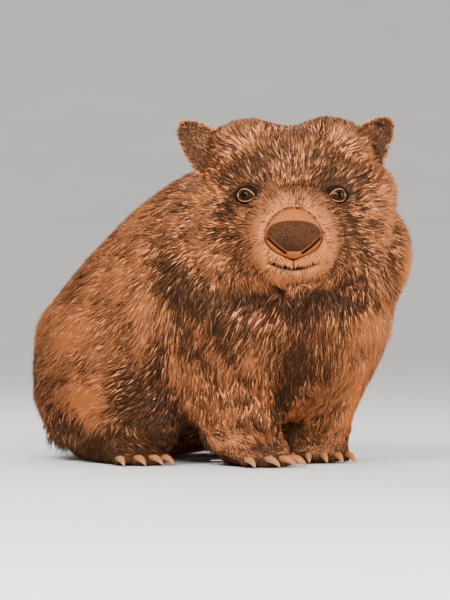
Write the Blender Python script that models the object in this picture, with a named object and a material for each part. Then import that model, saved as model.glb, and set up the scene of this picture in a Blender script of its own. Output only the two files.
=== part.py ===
"""A young bare-nosed wombat sitting on its haunches, life size, as a still model.

The animal faces -Y with its right side towards -X, and turns its head to its right.
Lengths are in metres. The body is modelled whole in a working frame whose Z = 0 is the
floor, parted with thin cuts, and moved at the end so that the middle of its foot print
is the origin.
"""

import math

import bmesh
import bpy
import numpy as np
from mathutils import Matrix, Vector
from mathutils.bvhtree import BVHTree

GAP = 0.0003  # between neighbouring pieces
SKIN_VOXEL = 0.0032  # grid that fuses the overlapping masses
BODY_TRIANGLES = 4150  # kept by the fused body, before it is parted
MERGE = 0.00002  # corners nearer than this become one
SHARP = math.radians(40)  # edges that bend more stay crisp

# Trunk, from the rump forward: y, half width, lowest z, highest z
TRUNK = [
    (0.416, 0.016, 0.076, 0.106),
    (0.408, 0.044, 0.044, 0.134),
    (0.390, 0.074, 0.016, 0.160),
    (0.360, 0.103, 0.003, 0.188),
    (0.320, 0.127, -0.003, 0.220),
    (0.274, 0.141, -0.003, 0.252),
    (0.234, 0.147, 0.004, 0.278),
    (0.190, 0.150, 0.010, 0.302),
    (0.131, 0.149, 0.022, 0.323),
    (0.080, 0.146, 0.036, 0.325),
    (0.030, 0.134, 0.052, 0.312),
    (-0.005, 0.114, 0.080, 0.292),
    (-0.034, 0.080, 0.112, 0.268),
    (-0.052, 0.035, 0.148, 0.230),
]
TRUNK_SQUARE = 2.25  # exponent of the rings: 2 is an ellipse, more is squarer
TRUNK_WAIST = 0.44  # share of a ring's height at which it is widest

# Masses of the trunk: name, centre, radii, on which sides
BODY_MASSES = [
    ("haunch", (0.098, 0.245, 0.088), (0.056, 0.104, 0.094), (-1, 1)),
    ("knee", (0.116, 0.156, 0.054), (0.039, 0.058, 0.052), (-1, 1)),
    ("shin", (0.119, 0.185, 0.046), (0.038, 0.052, 0.044), (-1, 1)),
    ("heel", (0.120, 0.208, 0.026), (0.032, 0.040, 0.032), (-1, 1)),
    ("rump", (0.045, 0.332, 0.080), (0.056, 0.052, 0.084), (-1, 1)),
    ("shoulder", (0.086, 0.072, 0.166), (0.063, 0.076, 0.086), (-1, 1)),
    ("elbow", (0.078, 0.104, 0.104), (0.044, 0.046, 0.056), (-1, 1)),
    ("breast", (0.0, 0.010, 0.150), (0.084, 0.048, 0.078), (1,)),
    ("scruff", (-0.098, 0.070, 0.236), (0.042, 0.052, 0.056), (1,)),
    ("nape", (0.070, 0.016, 0.216), (0.066, 0.060, 0.076), (1,)),
    ("tail", (0.0, 0.410, 0.082), (0.019, 0.020, 0.017), (1,)),
]

# Head, in its own frame: nose towards -Y, origin midway between the eyes
HEAD_AT = Vector((-0.0735, -0.0312, 0.2718))
HEAD_YAW = math.radians(-42)
HEAD_PITCH = math.radians(4)
SKULL = [
    (-0.088, 0.022, -0.064, -0.020),
    (-0.081, 0.036, -0.078, -0.010),
    (-0.064, 0.046, -0.087, 0.000),
    (-0.042, 0.058, -0.092, 0.014),
    (-0.018, 0.074, -0.095, 0.034),
    (0.004, 0.087, -0.096, 0.052),
    (0.030, 0.096, -0.095, 0.066),
    (0.058, 0.099, -0.092, 0.072),
    (0.090, 0.094, -0.088, 0.069),
    (0.120, 0.082, -0.078, 0.056),
    (0.142, 0.056, -0.055, 0.036),
]
SKULL_SQUARE = 2.3
SKULL_WAIST = 0.42
HEAD_MASSES = [
    ("cheek", (0.050, 0.018, -0.044), (0.052, 0.050, 0.048), (-1, 1)),
    ("jowl", (0.036, -0.018, -0.050), (0.034, 0.034, 0.040), (-1, 1)),
    ("brow", (0.036, -0.006, 0.016), (0.034, 0.022, 0.018), (-1, 1)),
    ("crown", (0.041, 0.046, 0.053), (0.040, 0.046, 0.026), (-1, 1)),
    ("lip", (0.017, -0.073, -0.058), (0.021, 0.019, 0.013), (-1, 1)),
    ("muzzle", (0.0, -0.056, -0.043), (0.047, 0.036, 0.042), (1,)),
    ("bridge", (0.0, -0.040, -0.013), (0.035, 0.046, 0.026), (1,)),
    ("forehead", (0.0, 0.010, 0.016), (0.056, 0.042, 0.046), (1,)),
    ("chin", (0.0, -0.062, -0.077), (0.027, 0.023, 0.012), (1,)),
]

# Cuts between the nodes: centre and radii of an ellipsoid, low and high corner of a box.
# Those of the limbs are written for the left side.
HEAD_EGG = ((0.0, -0.02, 0.02), (0.165, 0.130, 0.128))  # in the head's frame
HEAD_FRONT = ((-0.12, -0.20, -0.14), (0.12, -0.030, 0.14))  # in the head's frame
NECK_EGG = ((-0.030, -0.020, 0.262), (0.190, 0.135, 0.120))
TAIL_EGG = ((0.0, 0.432, 0.082), (0.030, 0.030, 0.030))
FORELEG_EGG = ((0.082, 0.072, 0.070), (0.086, 0.084, 0.125))
FORELEG_BOX = ((0.001, -0.2, -0.01), (0.3, 0.4, 0.3))
HINDLEG_EGG = ((0.128, 0.225, 0.074), (0.076, 0.140, 0.118))
HINDLEG_BOX = ((0.02, 0.0, -0.01), (0.3, 0.5, 0.3))
FOREFOOT_BOX = ((0.001, -0.09, -0.01), (0.112, 0.105, 0.036))
HINDFOOT_BOX = ((0.084, 0.040, -0.01), (0.180, 0.168, 0.036))
GROUND_BOX = ((-0.5, -0.5, -0.1), (0.5, 0.7, 0.0))

# Smoothing and thinning of the fused body
FOOT_HEIGHT = 0.045
FORE_END = 0.12  # y in front of which the low parts are forefeet
HIND_END = 0.18  # y in front of which the low outer parts are hind feet
HIND_INSIDE = 0.09  # distance of the hind feet from the middle
FIRM = 0.12  # share of the smoothing that reaches the muzzle and the feet
MUZZLE_EGG = ((0.0, -0.08, -0.04), (0.050, 0.040, 0.055))  # in the head's frame
FACE_EGG = ((0.0, -0.06, -0.03), (0.085, 0.075, 0.085))  # in the head's frame
FACE_THINNING = 0.90  # share of the thinning that reaches the face and the feet

# Neck: centre, half width, half height along its path
NECK = [
    ((0.000, 0.140, 0.200), 0.110, 0.105),
    ((-0.014, 0.070, 0.216), 0.108, 0.102),
    ((-0.046, 0.016, 0.238), 0.100, 0.094),
    ((-0.068, -0.014, 0.254), 0.088, 0.084),
]

# Forelegs: centre, half width, half depth, for the right one and the left one
RIGHT_FORELEG = [
    ((-0.080, 0.070, 0.175), 0.058, 0.066),
    ((-0.076, 0.073, 0.130), 0.054, 0.060),
    ((-0.071, 0.070, 0.090), 0.049, 0.053),
    ((-0.062, 0.062, 0.056), 0.045, 0.047),
    ((-0.056, 0.056, 0.024), 0.038, 0.040),
]
LEFT_FORELEG = [
    ((0.086, 0.060, 0.175), 0.058, 0.062),
    ((0.084, 0.062, 0.130), 0.055, 0.056),
    ((0.074, 0.066, 0.095), 0.049, 0.052),
    ((0.063, 0.070, 0.062), 0.043, 0.046),
    ((0.057, 0.072, 0.024), 0.037, 0.040),
]

# Locks of the coat that break the outline. Each row: in the head's frame or not, first and
# last place from which to look for the root, the way to look, the lie, how many, length,
# width, lift of the tip off the surface
LOCK_ROWS = [
    (True, (-0.026, -0.2, -0.082), (0.026, -0.2, -0.082), (0, 1, 0), (0, 0.2, -1),
     6, 0.020, 0.011, 0.009),
    (True, (-0.042, -0.2, -0.088), (0.042, -0.2, -0.088), (0, 1, 0), (0, 0.3, -1),
     8, 0.024, 0.013, 0.012),
    (True, (-0.086, -0.2, -0.048), (-0.048, -0.2, -0.082), (0, 1, 0), (-0.5, 0.3, -0.8),
     6, 0.030, 0.017, 0.007),
    (True, (0.086, -0.2, -0.048), (0.048, -0.2, -0.082), (0, 1, 0), (0.5, 0.3, -0.8),
     6, 0.030, 0.017, 0.007),
    (False, (0.030, -0.3, 0.150), (0.096, -0.3, 0.175), (0, 1, 0), (0.3, 0, -1),
     5, 0.032, 0.019, 0.006),
    (False, (0.016, -0.3, 0.120), (0.086, -0.3, 0.140), (0, 1, 0), (0.2, 0, -1),
     5, 0.032, 0.019, 0.006),
    (False, (-0.3, 0.100, 0.080), (-0.3, 0.104, 0.142), (1, 0, 0), (0, 0.6, -1),
     5, 0.030, 0.018, 0.007),
    (False, (0.3, 0.100, 0.080), (0.3, 0.104, 0.142), (-1, 0, 0), (0, 0.6, -1),
     5, 0.030, 0.018, 0.007),
    (False, (-0.3, 0.210, 0.032), (-0.3, 0.320, 0.040), (1, 0, 0), (0, 0.7, -0.7),
     8, 0.032, 0.020, 0.006),
    (False, (0.3, 0.210, 0.032), (0.3, 0.320, 0.040), (-1, 0, 0), (0, 0.7, -0.7),
     8, 0.032, 0.020, 0.006),
    (False, (-0.075, 0.6, 0.050), (0.075, 0.6, 0.050), (0, -1, 0), (0, 0.3, -1),
     8, 0.032, 0.022, 0.006),
]
LOCK_THICK = 0.0050
LOCK_SUNK = 0.004
LOCK_FLOOR = 0.004  # no lock reaches lower
LOCK_SEED = 5

# Feet, in their own frame: toes towards -Y, sole at z = 0, toe 1 on the inner side
RIGHT_FORE_FOOT = (Vector((-0.054, 0.048, 0.0)), math.radians(-2))
LEFT_FORE_FOOT = (Vector((0.058, 0.068, 0.0)), math.radians(-34))
RIGHT_HIND_FOOT = (Vector((-0.124, 0.180, 0.0)), math.radians(-4))
LEFT_HIND_FOOT = (Vector((0.124, 0.180, 0.0)), math.radians(4))
FORE_PAD = [
    ((0.0, 0.028, 0.020), 0.028, 0.020),
    ((0.0, 0.008, 0.021), 0.034, 0.022),
    ((0.0, -0.012, 0.019), 0.036, 0.020),
    ((0.0, -0.026, 0.016), 0.031, 0.016),
]
HIND_PAD = [
    ((0.0, 0.044, 0.018), 0.022, 0.019),
    ((0.0, 0.020, 0.020), 0.028, 0.021),
    ((0.0, -0.020, 0.019), 0.031, 0.019),
    ((0.0, -0.044, 0.015), 0.029, 0.015),
]
# Toes: knuckle x, knuckle y, spread in degrees, length, radius, length of the bare claw
FORE_TOES = [
    (0.025, -0.014, 14, 0.016, 0.0080, 0.015),
    (0.0135, -0.024, 6, 0.018, 0.0088, 0.019),
    (0.000, -0.027, 0, 0.019, 0.0090, 0.020),
    (-0.0135, -0.024, -6, 0.018, 0.0088, 0.019),
    (-0.026, -0.014, -15, 0.015, 0.0080, 0.015),
]
HIND_TOES = [
    (0.023, -0.036, 16, 0.010, 0.0062, 0.0),
    (0.012, -0.043, 7, 0.017, 0.0080, 0.015),
    (-0.001, -0.045, 0, 0.018, 0.0082, 0.016),
    (-0.014, -0.041, -7, 0.017, 0.0080, 0.015),
    (-0.026, -0.032, -16, 0.014, 0.0074, 0.013),
]
TOE_ARCH = 0.005  # rise of the knuckles over the toe tips
CLAW_ROOT = 0.008  # share of a claw sunk in its toe
CLAW_RADIUS = 0.0036

# Eyes and lids, in the head's frame
EYE_X = 0.0450
EYE_OUT = Vector((0.50, -0.86, 0.06))  # the way the right-hand eye looks
EYE_RADIUS = 0.0090
EYE_SINK = 0.0042  # of the eye's centre behind the lids' ring
LID_WIDE = 0.0104
LID_HIGH = 0.0072
LID_THICK = 0.0021
LID_BEND = 0.0024  # how far the corners of the lids lie behind their middle
LID_SLANT = math.radians(8)

# Nose pad and mouth, in the head's frame
NOSE_AT = Vector((0.0, -0.0840, -0.0375))
NOSE_RADII = Vector((0.0257, 0.0150, 0.0242))
NOSE_WIDTHS = [(-1.0, 0.50), (-0.80, 0.62), (-0.50, 0.95), (-0.25, 1.08), (0.15, 1.04),
               (0.6, 0.96), (1.0, 0.95)]
NOSE_LEAN = math.radians(-14)
NOSTRIL = [(0.0238, -0.0425), (0.0190, -0.0468), (0.0138, -0.0512), (0.0080, -0.0556)]
NOSTRIL_RADIUS = 0.0023
MOUTH = [(-0.0240, -0.0645), (-0.0170, -0.0672), (-0.0080, -0.0700), (0.0, -0.0708),
         (0.0080, -0.0700), (0.0170, -0.0672), (0.0240, -0.0645)]
PHILTRUM = [(0.0, -0.0540), (0.0, -0.0630), (0.0, -0.0712)]
MOUTH_RADIUS = 0.0014

# Ears, in the head's frame: base centre, tip, and the way the cup opens
RIGHT_EAR = (Vector((-0.076, 0.046, 0.042)), Vector((-0.110, 0.040, 0.074)))
LEFT_EAR = (Vector((0.073, 0.046, 0.044)), Vector((0.102, 0.040, 0.078)))
EAR_FACE = Vector((0.10, -1.0, 0.10))
EAR_HALF_WIDTH = 0.024
EAR_SUNK = 0.35  # share of the ear's length below the head's surface
EAR_WALL = 0.0032
EAR_CUP = 0.010


def clear_scene():
    for item in list(bpy.data.objects):
        bpy.data.objects.remove(item)


def material(name, colour, roughness):
    made = bpy.data.materials.new(name)
    made.use_nodes = True
    shader = made.node_tree.nodes["Principled BSDF"]
    shader.inputs["Base Color"].default_value = (*colour, 1.0)
    shader.inputs["Roughness"].default_value = roughness
    shader.inputs["Metallic"].default_value = 0.0
    return made


def linked(name, mesh):
    made = bpy.data.objects.new(name, mesh)
    bpy.context.scene.collection.objects.link(made)
    return made


def new_object(name, points, faces):
    """An object from points and faces, with its faces turned outwards."""
    mesh = bpy.data.meshes.new(name)
    mesh.from_pydata([tuple(p) for p in points], [], [tuple(f) for f in faces])
    work = bmesh.new()
    work.from_mesh(mesh)
    bmesh.ops.recalc_face_normals(work, faces=work.faces)
    work.to_mesh(mesh)
    work.free()
    return linked(name, mesh)


def remove(*objects):
    for item in objects:
        bpy.data.objects.remove(item)


def copied(item, name):
    return linked(name, item.data.copy())


def apply_modifiers(item):
    bpy.context.view_layer.update()
    graph = bpy.context.evaluated_depsgraph_get()
    mesh = bpy.data.meshes.new_from_object(item.evaluated_get(graph))
    item.modifiers.clear()
    item.data = mesh
    return item


def boolean(item, cutter, operation):
    step = item.modifiers.new("step", "BOOLEAN")
    step.operation = operation
    step.solver = "EXACT"
    step.object = cutter
    return apply_modifiers(item)


def transform(item, matrix):
    item.data.transform(matrix)
    if matrix.determinant() < 0:
        item.data.flip_normals()
    item.data.update()
    return item


def grown(item, distance):
    """A copy of the item with every corner moved out along its normal."""
    copy = copied(item, item.name + "_grown")
    work = bmesh.new()
    work.from_mesh(copy.data)
    work.normal_update()
    moves = [v.normal * distance for v in work.verts]
    for vertex, move in zip(work.verts, moves):
        vertex.co += move
    work.to_mesh(copy.data)
    work.free()
    return copy


def smooth_rows(rows, steps):
    """Catmull-Rom points through the rows of a table, ``steps`` to each interval."""
    table = np.array([np.hstack(row) for row in rows], float)
    padded = np.vstack([2 * table[0] - table[1], table, 2 * table[-1] - table[-2]])
    out = []
    for k in range(len(table) - 1):
        a, b, c, d = padded[k : k + 4]
        for t in np.arange(steps) / steps:
            out.append(
                0.5 * (2 * b + (c - a) * t + (2 * a - 5 * b + 4 * c - d) * t**2
                       + (3 * b - a - 3 * c + d) * t**3)
            )
    out.append(table[-1])
    return np.array(out)


def bridged(name, rings, loop=False):
    """A closed tube through rings of equally many points."""
    sides = len(rings[0])
    count = len(rings)
    points = [p for ring in rings for p in ring]
    faces = []
    for r in range(count if loop else count - 1):
        a, b = r * sides, (r + 1) % count * sides
        for k in range(sides):
            n = (k + 1) % sides
            faces.append((a + k, a + n, b + n, b + k))
    if not loop:
        faces.append(tuple(range(sides)))
        faces.append(tuple((count - 1) * sides + k for k in range(sides)))
    return new_object(name, points, faces)


def signed_power(value, power):
    return np.sign(value) * np.abs(value) ** power


def barrel(name, stations, square, waist, sides=40, steps=4):
    """A body along Y from stations of y, half width, lowest and highest z."""
    turn = np.arange(sides) * 2 * math.pi / sides
    across = signed_power(np.cos(turn), 2 / square)
    upward = signed_power(np.sin(turn), 2 / square)
    rings = []
    for y, half, low, high in smooth_rows(stations, steps):
        middle = low + waist * (high - low)
        z = middle + upward * np.where(upward > 0, high - middle, middle - low)
        rings.append(np.column_stack([half * across, np.full(sides, y), z]))
    return bridged(name, rings)


def limb(name, stations, sides=24, steps=5):
    """A limb along a path of centre, half width (across, level) and half depth."""
    rows = smooth_rows(stations, steps)
    centres, half, depth = rows[:, :3], rows[:, 3], rows[:, 4]
    turn = np.arange(sides) * 2 * math.pi / sides
    rings = []
    for k, centre in enumerate(centres):
        ahead = Vector(centres[min(k + 1, len(rows) - 1)] - centres[max(k - 1, 0)])
        ahead.normalize()
        side = Vector((1, 0, 0))
        side = (side - ahead * side.dot(ahead)).normalized()
        up = side.cross(ahead)
        ring = [Vector(centre) + side * half[k] * math.cos(t) + up * depth[k] * math.sin(t)
                for t in turn]
        rings.append(ring)
    return bridged(name, rings)


def tube(name, path, radii, level, sides=8, loop=False):
    """A tube through a path, with a radius for each point; ``level`` is across the path."""
    rings = []
    count = len(path)
    for k, point in enumerate(path):
        if loop:
            ahead = path[(k + 1) % count] - path[k - 1]
        else:
            ahead = path[min(k + 1, count - 1)] - path[max(k - 1, 0)]
        ahead.normalize()
        side = ahead.cross(level).normalized()
        up = side.cross(ahead)
        rings.append([
            point + (side * math.cos(t) + up * math.sin(t)) * radii[k]
            for t in (2 * math.pi * s / sides for s in range(sides))
        ])
    return bridged(name, rings, loop)


def ellipsoid(name, centre, radii, segments=24, matrix=None):
    mesh = bpy.data.meshes.new(name)
    work = bmesh.new()
    bmesh.ops.create_uvsphere(work, u_segments=segments, v_segments=segments // 2, radius=1)
    work.to_mesh(mesh)
    work.free()
    mesh.transform(Matrix.Translation(centre) @ Matrix.Diagonal((*radii, 1)))
    if matrix is not None:
        mesh.transform(matrix)
    return linked(name, mesh)


def block(name, low, high, matrix=None, extra=0.0):
    """A box between two corners, each face moved out by ``extra``."""
    mesh = bpy.data.meshes.new(name)
    work = bmesh.new()
    bmesh.ops.create_cube(work, size=1)
    work.to_mesh(mesh)
    work.free()
    edge = Vector((extra, extra, extra))
    low, high = Vector(low) - edge, Vector(high) + edge
    mesh.transform(Matrix.Translation((low + high) / 2) @ Matrix.Diagonal((*(high - low), 1)))
    if matrix is not None:
        mesh.transform(matrix)
    return linked(name, mesh)


def joined(name, pieces):
    """One object that holds the pieces' meshes, still overlapping."""
    work = bmesh.new()
    for piece in pieces:
        work.from_mesh(piece.data)
    mesh = bpy.data.meshes.new(name)
    work.to_mesh(mesh)
    work.free()
    remove(*pieces)
    return linked(name, mesh)


def islands(work):
    """The connected groups of faces of a bmesh."""
    left = set(work.faces)
    groups = []
    while left:
        stack = [left.pop()]
        group = []
        while stack:
            face = stack.pop()
            group.append(face)
            for edge in face.edges:
                for other in edge.link_faces:
                    if other in left:
                        left.remove(other)
                        stack.append(other)
        groups.append(group)
    return groups


def keep_largest(item):
    """Leaves only the largest closed surface of the item, triangulated and cleaned."""
    work = bmesh.new()
    work.from_mesh(item.data)
    bmesh.ops.triangulate(work, faces=work.faces)
    bmesh.ops.remove_doubles(work, verts=work.verts, dist=MERGE)
    bmesh.ops.dissolve_degenerate(work, edges=work.edges, dist=MERGE / 2)
    bmesh.ops.triangulate(work, faces=work.faces)
    groups = sorted(islands(work), key=lambda group: sum(f.calc_area() for f in group))
    for group in groups[:-1]:
        bmesh.ops.delete(work, geom=group, context="FACES")
    loose = [v for v in work.verts if not v.link_faces]
    bmesh.ops.delete(work, geom=loose, context="VERTS")
    work.to_mesh(item.data)
    work.free()
    return item


def surface(item):
    """The item's faces as a tree for finding points on it."""
    work = bmesh.new()
    work.from_mesh(item.data)
    bmesh.ops.triangulate(work, faces=work.faces)
    tree = BVHTree.FromBMesh(work)
    work.free()
    return tree


def head_matrix():
    return (Matrix.Translation(HEAD_AT) @ Matrix.Rotation(HEAD_YAW, 4, "Z")
            @ Matrix.Rotation(HEAD_PITCH, 4, "X"))


def head_forward():
    return (head_matrix().to_3x3() @ Vector((0, -1, 0))).normalized()


def front_point(tree, x, z, sink=0.0):
    """The foremost point of a surface at x, z of the head's frame, ``sink`` behind it."""
    start = head_matrix() @ Vector((x, -0.2, z))
    hit, _, _, _ = tree.ray_cast(start, -head_forward())
    return hit - head_forward() * sink


def masses(rows, matrix=None):
    pieces = []
    for name, (x, y, z), radii, sides in rows:
        for side in sides:
            pieces.append(ellipsoid(name, (side * x, y, z), radii, matrix=matrix))
    return pieces


def foot_matrix(side, placed):
    """The place of a foot; side is -1 on the animal's right and 1 on its left."""
    at, turn = placed
    mirror = Matrix.Scale(-1, 4, (1, 0, 0)) if side > 0 else Matrix.Identity(4)
    return Matrix.Translation(at) @ Matrix.Rotation(turn, 4, "Z") @ mirror


def toe_line(toe):
    """Knuckle, tip and direction of a toe in the foot's frame."""
    x, y, spread, length, radius, _ = toe
    angle = math.radians(spread)
    ahead = Vector((math.sin(angle), -math.cos(angle), 0))
    knuckle = Vector((x, y, radius + TOE_ARCH))
    tip = knuckle + ahead * length
    tip.z = radius - 0.0012
    return knuckle, tip, ahead


def foot_pieces(side, placed, pad, toes):
    place = foot_matrix(side, placed)
    pieces = [limb("pad", pad, sides=20)]
    for toe in toes:
        knuckle, tip, ahead = toe_line(toe)
        radius = toe[4]
        stations = [
            (knuckle - ahead * 0.012, radius, radius),
            (knuckle, radius * 1.05, radius * 1.1),
            (tip - ahead * 0.005, radius, radius),
            (tip, radius * 0.85, radius * 0.8),
        ]
        pieces.append(limb("toe", stations, sides=12, steps=3))
        pieces.append(ellipsoid("toe_end", tip, (radius * 0.85,) * 3, segments=12))
    for piece in pieces:
        transform(piece, place)
    return pieces


FEET = [
    ("forefoot_r", -1, RIGHT_FORE_FOOT, FORE_PAD, FORE_TOES),
    ("forefoot_l", 1, LEFT_FORE_FOOT, FORE_PAD, FORE_TOES),
    ("hindfoot_r", -1, RIGHT_HIND_FOOT, HIND_PAD, HIND_TOES),
    ("hindfoot_l", 1, LEFT_HIND_FOOT, HIND_PAD, HIND_TOES),
]


def body_pieces():
    place = head_matrix()
    pieces = [
        barrel("trunk", TRUNK, TRUNK_SQUARE, TRUNK_WAIST),
        limb("neck", NECK, sides=32),
        limb("foreleg_r", RIGHT_FORELEG),
        limb("foreleg_l", LEFT_FORELEG),
        transform(barrel("skull", SKULL, SKULL_SQUARE, SKULL_WAIST), place),
    ]
    pieces += masses(BODY_MASSES)
    pieces += masses(HEAD_MASSES, place)
    for _, side, placed, pad, toes in FEET:
        pieces += foot_pieces(side, placed, pad, toes)
    return pieces


def near_feet(point):
    outer = abs(point.x) > HIND_INSIDE and point.y < HIND_END
    return point.z < FOOT_HEIGHT and (point.y < FORE_END or outer)


def egg_distance(point, egg):
    """0 at the centre of an ellipsoid and 1 on it."""
    return Vector((p - c) / r for p, c, r in zip(point, *egg)).length


def softness(point, to_head):
    """How strongly a place is smoothed: little on the muzzle and the feet."""
    muzzle = egg_distance(to_head @ point, MUZZLE_EGG) ** 2
    if muzzle < 1:
        return FIRM + 0.8 * muzzle
    return FIRM if near_feet(point) else 1.0


def sparing(point, to_head):
    """How strongly a place is thinned out: less on the face and the feet."""
    away = egg_distance(to_head @ point, FACE_EGG)
    height = point.z / FOOT_HEIGHT if point.y < HIND_END else 2.0
    share = min(max(min(away, height + 0.25) - 0.6, 0.0) / 0.8, 1.0)
    return FACE_THINNING + (1 - FACE_THINNING) * share


def fuse(name, pieces):
    """One smooth skin round the overlapping pieces, with fewer, larger faces."""
    whole = joined(name, pieces)
    remesh = whole.modifiers.new("fuse", "REMESH")
    remesh.mode = "VOXEL"
    remesh.voxel_size = SKIN_VOXEL
    apply_modifiers(whole)
    to_head = head_matrix().inverted()
    soft = whole.vertex_groups.new(name="soft")
    thin = whole.vertex_groups.new(name="thin")
    for vertex in whole.data.vertices:
        soft.add([vertex.index], softness(vertex.co, to_head), "REPLACE")
        thin.add([vertex.index], sparing(vertex.co, to_head), "REPLACE")
    smooth = whole.modifiers.new("smooth", "SMOOTH")
    smooth.factor = 0.5
    smooth.iterations = 60
    smooth.vertex_group = "soft"
    triangles = 2 * len(whole.data.polygons)
    decimate = whole.modifiers.new("decimate", "DECIMATE")
    decimate.ratio = BODY_TRIANGLES / triangles
    decimate.vertex_group = "thin"
    decimate.vertex_group_factor = 1.0
    apply_modifiers(whole)
    whole.vertex_groups.clear()
    return whole


def lock(root, normal, lie, length, width, lift):
    """A flat tapered blade that leaves the skin at its root and bends along the lie."""
    along = (lie - normal * lie.dot(normal)).normalized()
    across = along.cross(normal)
    steps = [(-0.10, -LOCK_SUNK / lift, 0.75), (0.35, 0.30, 1.0), (0.72, 0.62, 0.62),
             (1.0, 1.0, 0.08)]
    rings = []
    for forward, up, share in steps:
        centre = root + along * forward * length + normal * up * lift
        centre.z = max(centre.z, LOCK_FLOOR)
        flat = across * width / 2 * share
        thick = normal * LOCK_THICK / 2 * share
        rings.append([centre + flat, centre + thick, centre - flat, centre - thick])
    return bridged("lock", rings)


def add_locks(item):
    """Roots the locks in the item's surface by one union."""
    rng = np.random.default_rng(LOCK_SEED)
    tree = surface(item)
    group = bpy.data.collections.new("locks")
    for in_head, first, last, look, lie, count, length, width, lift in LOCK_ROWS:
        place = head_matrix() if in_head else Matrix.Identity(4)
        turn = place.to_3x3()
        first, last = Vector(first), Vector(last)
        for k in range(count):
            share = (k + 0.5 + 0.3 * rng.uniform(-1, 1)) / count
            start = place @ first.lerp(last, share)
            hit, normal, _, _ = tree.ray_cast(start, turn @ Vector(look))
            sway = Vector(rng.uniform(-0.2, 0.2, 3))
            size = rng.uniform(0.85, 1.15)
            made = lock(hit, normal, turn @ Vector(lie) + sway, length * size, width, lift)
            bpy.context.scene.collection.objects.unlink(made)
            group.objects.link(made)
    step = item.modifiers.new("locks", "BOOLEAN")
    step.operation = "UNION"
    step.solver = "EXACT"
    step.operand_type = "COLLECTION"
    step.collection = group
    apply_modifiers(item)
    remove(*list(group.objects))
    bpy.data.collections.remove(group)


def trim_soles(item):
    """Cuts away what reaches below the floor, which leaves flat soles."""
    ground = block("ground", *GROUND_BOX)
    boolean(item, ground, "DIFFERENCE")
    remove(ground)


def seat(host, *pieces):
    """Hollows the host round the pieces, so that a thin gap is left."""
    rooms = joined("rooms", [grown(piece, GAP) for piece in pieces])
    boolean(host, rooms, "DIFFERENCE")
    remove(rooms)


def eye_place(tree, side):
    """A frame at the lids' ring: Z looks out of the eye, X runs along the slit."""
    look = (head_matrix().to_3x3() @ Vector((side * EYE_OUT.x, EYE_OUT.y, EYE_OUT.z))).normalized()
    along = Vector((0, 0, 1)).cross(look).normalized()
    up = look.cross(along)
    centre = front_point(tree, side * EYE_X, 0.0)
    frame = Matrix((along, up, look)).transposed().to_4x4()
    return (Matrix.Translation(centre) @ frame
            @ Matrix.Rotation(LID_SLANT * side, 4, "Z"))


def lids(side, place):
    """The rim round the eye, as one bent ring."""
    path = []
    steps = 16
    for k in range(steps):
        angle = 2 * math.pi * k / steps
        x, y = LID_WIDE * math.cos(angle), LID_HIGH * math.sin(angle)
        path.append(place @ Vector((x, y, -LID_BEND * (x / LID_WIDE) ** 2)))
    look = place.to_3x3() @ Vector((0, 0, 1))
    return tube("lids", path, [LID_THICK] * steps, look, sides=6, loop=True)


def nose_pad():
    """A leathery pad, widest low down, with its top leaning back."""
    mesh = ellipsoid("nose", (0, 0, 0), (1, 1, 1), segments=18)
    heights = [row[0] for row in NOSE_WIDTHS]
    widths = [row[1] for row in NOSE_WIDTHS]
    for vertex in mesh.data.vertices:
        x, y, z = vertex.co
        wide = float(np.interp(z, heights, widths))
        deep = -abs(y) ** 0.8 if y < 0 else y
        vertex.co = (x * wide * NOSE_RADII.x, deep * NOSE_RADII.y, z * NOSE_RADII.z)
    place = head_matrix() @ Matrix.Translation(NOSE_AT) @ Matrix.Rotation(NOSE_LEAN, 4, "X")
    transform(mesh, place)
    tree = surface(mesh)
    for side in (-1, 1):
        path = [front_point(tree, side * x, z, 0.0004) for x, z in NOSTRIL]
        radii = [NOSTRIL_RADIUS * share for share in (0.75, 1.0, 0.95, 0.6)]
        slit = tube("slit", path, radii, head_forward())
        boolean(mesh, slit, "DIFFERENCE")
        remove(slit)
    return keep_largest(mesh)


def ear(name, side):
    """A cupped leaf whose root is sunk in the head; side 1 is the animal's left."""
    base, tip = LEFT_EAR if side > 0 else RIGHT_EAR
    face = Vector((side * EAR_FACE.x, EAR_FACE.y, EAR_FACE.z))
    axis = tip - base
    length = axis.length
    axis.normalize()
    face = (face - axis * face.dot(axis)).normalized()
    across = axis.cross(face)
    points, faces = [], []
    rows, columns = 8, 6
    for r in range(rows + 1):
        u = -EAR_SUNK + (1 + EAR_SUNK) * r / rows
        reach = min(max(u, 0.0), 1.0)
        half = EAR_HALF_WIDTH * ((1 - reach) ** 0.62 * (1 + 0.2 * reach) * 0.92 + 0.08)
        half *= 1 - 0.35 * max(-u, 0.0) / EAR_SUNK
        for c in range(columns + 1):
            v = 2 * c / columns - 1
            depth = EAR_CUP * (1 - v * v) * (1 - 0.5 * reach)
            points.append(base + axis * length * u + across * half * v - face * depth)
    for r in range(rows):
        for c in range(columns):
            a = r * (columns + 1) + c
            faces.append((a, a + 1, a + columns + 2, a + columns + 1))
    leaf = new_object(name, points, faces)
    wall = leaf.modifiers.new("wall", "SOLIDIFY")
    wall.thickness = EAR_WALL
    wall.offset = 0
    apply_modifiers(leaf)
    transform(leaf, head_matrix())
    return keep_largest(leaf)


def claw(name, toe, place):
    """A slightly curved horn from inside the toe's end down towards the floor."""
    _, tip, ahead = toe_line(toe)
    bare = toe[5]
    steps = [(-CLAW_ROOT, 0.0012, 0.80), (0.0, 0.0016, 0.95), (0.25, 0.0014, 1.0),
             (0.5, 0.0002, 0.86), (0.78, -0.0022, 0.58), (1.0, -0.0050, 0.16)]
    path, radii = [], []
    for along, rise, share in steps:
        reach = along if along < 0 else 0.004 + along * bare
        path.append(tip + ahead * reach + Vector((0, 0, rise)))
        radii.append(CLAW_RADIUS * share)
    return transform(tube(name, path, radii, Vector((0, 0, 1))), place)


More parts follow.
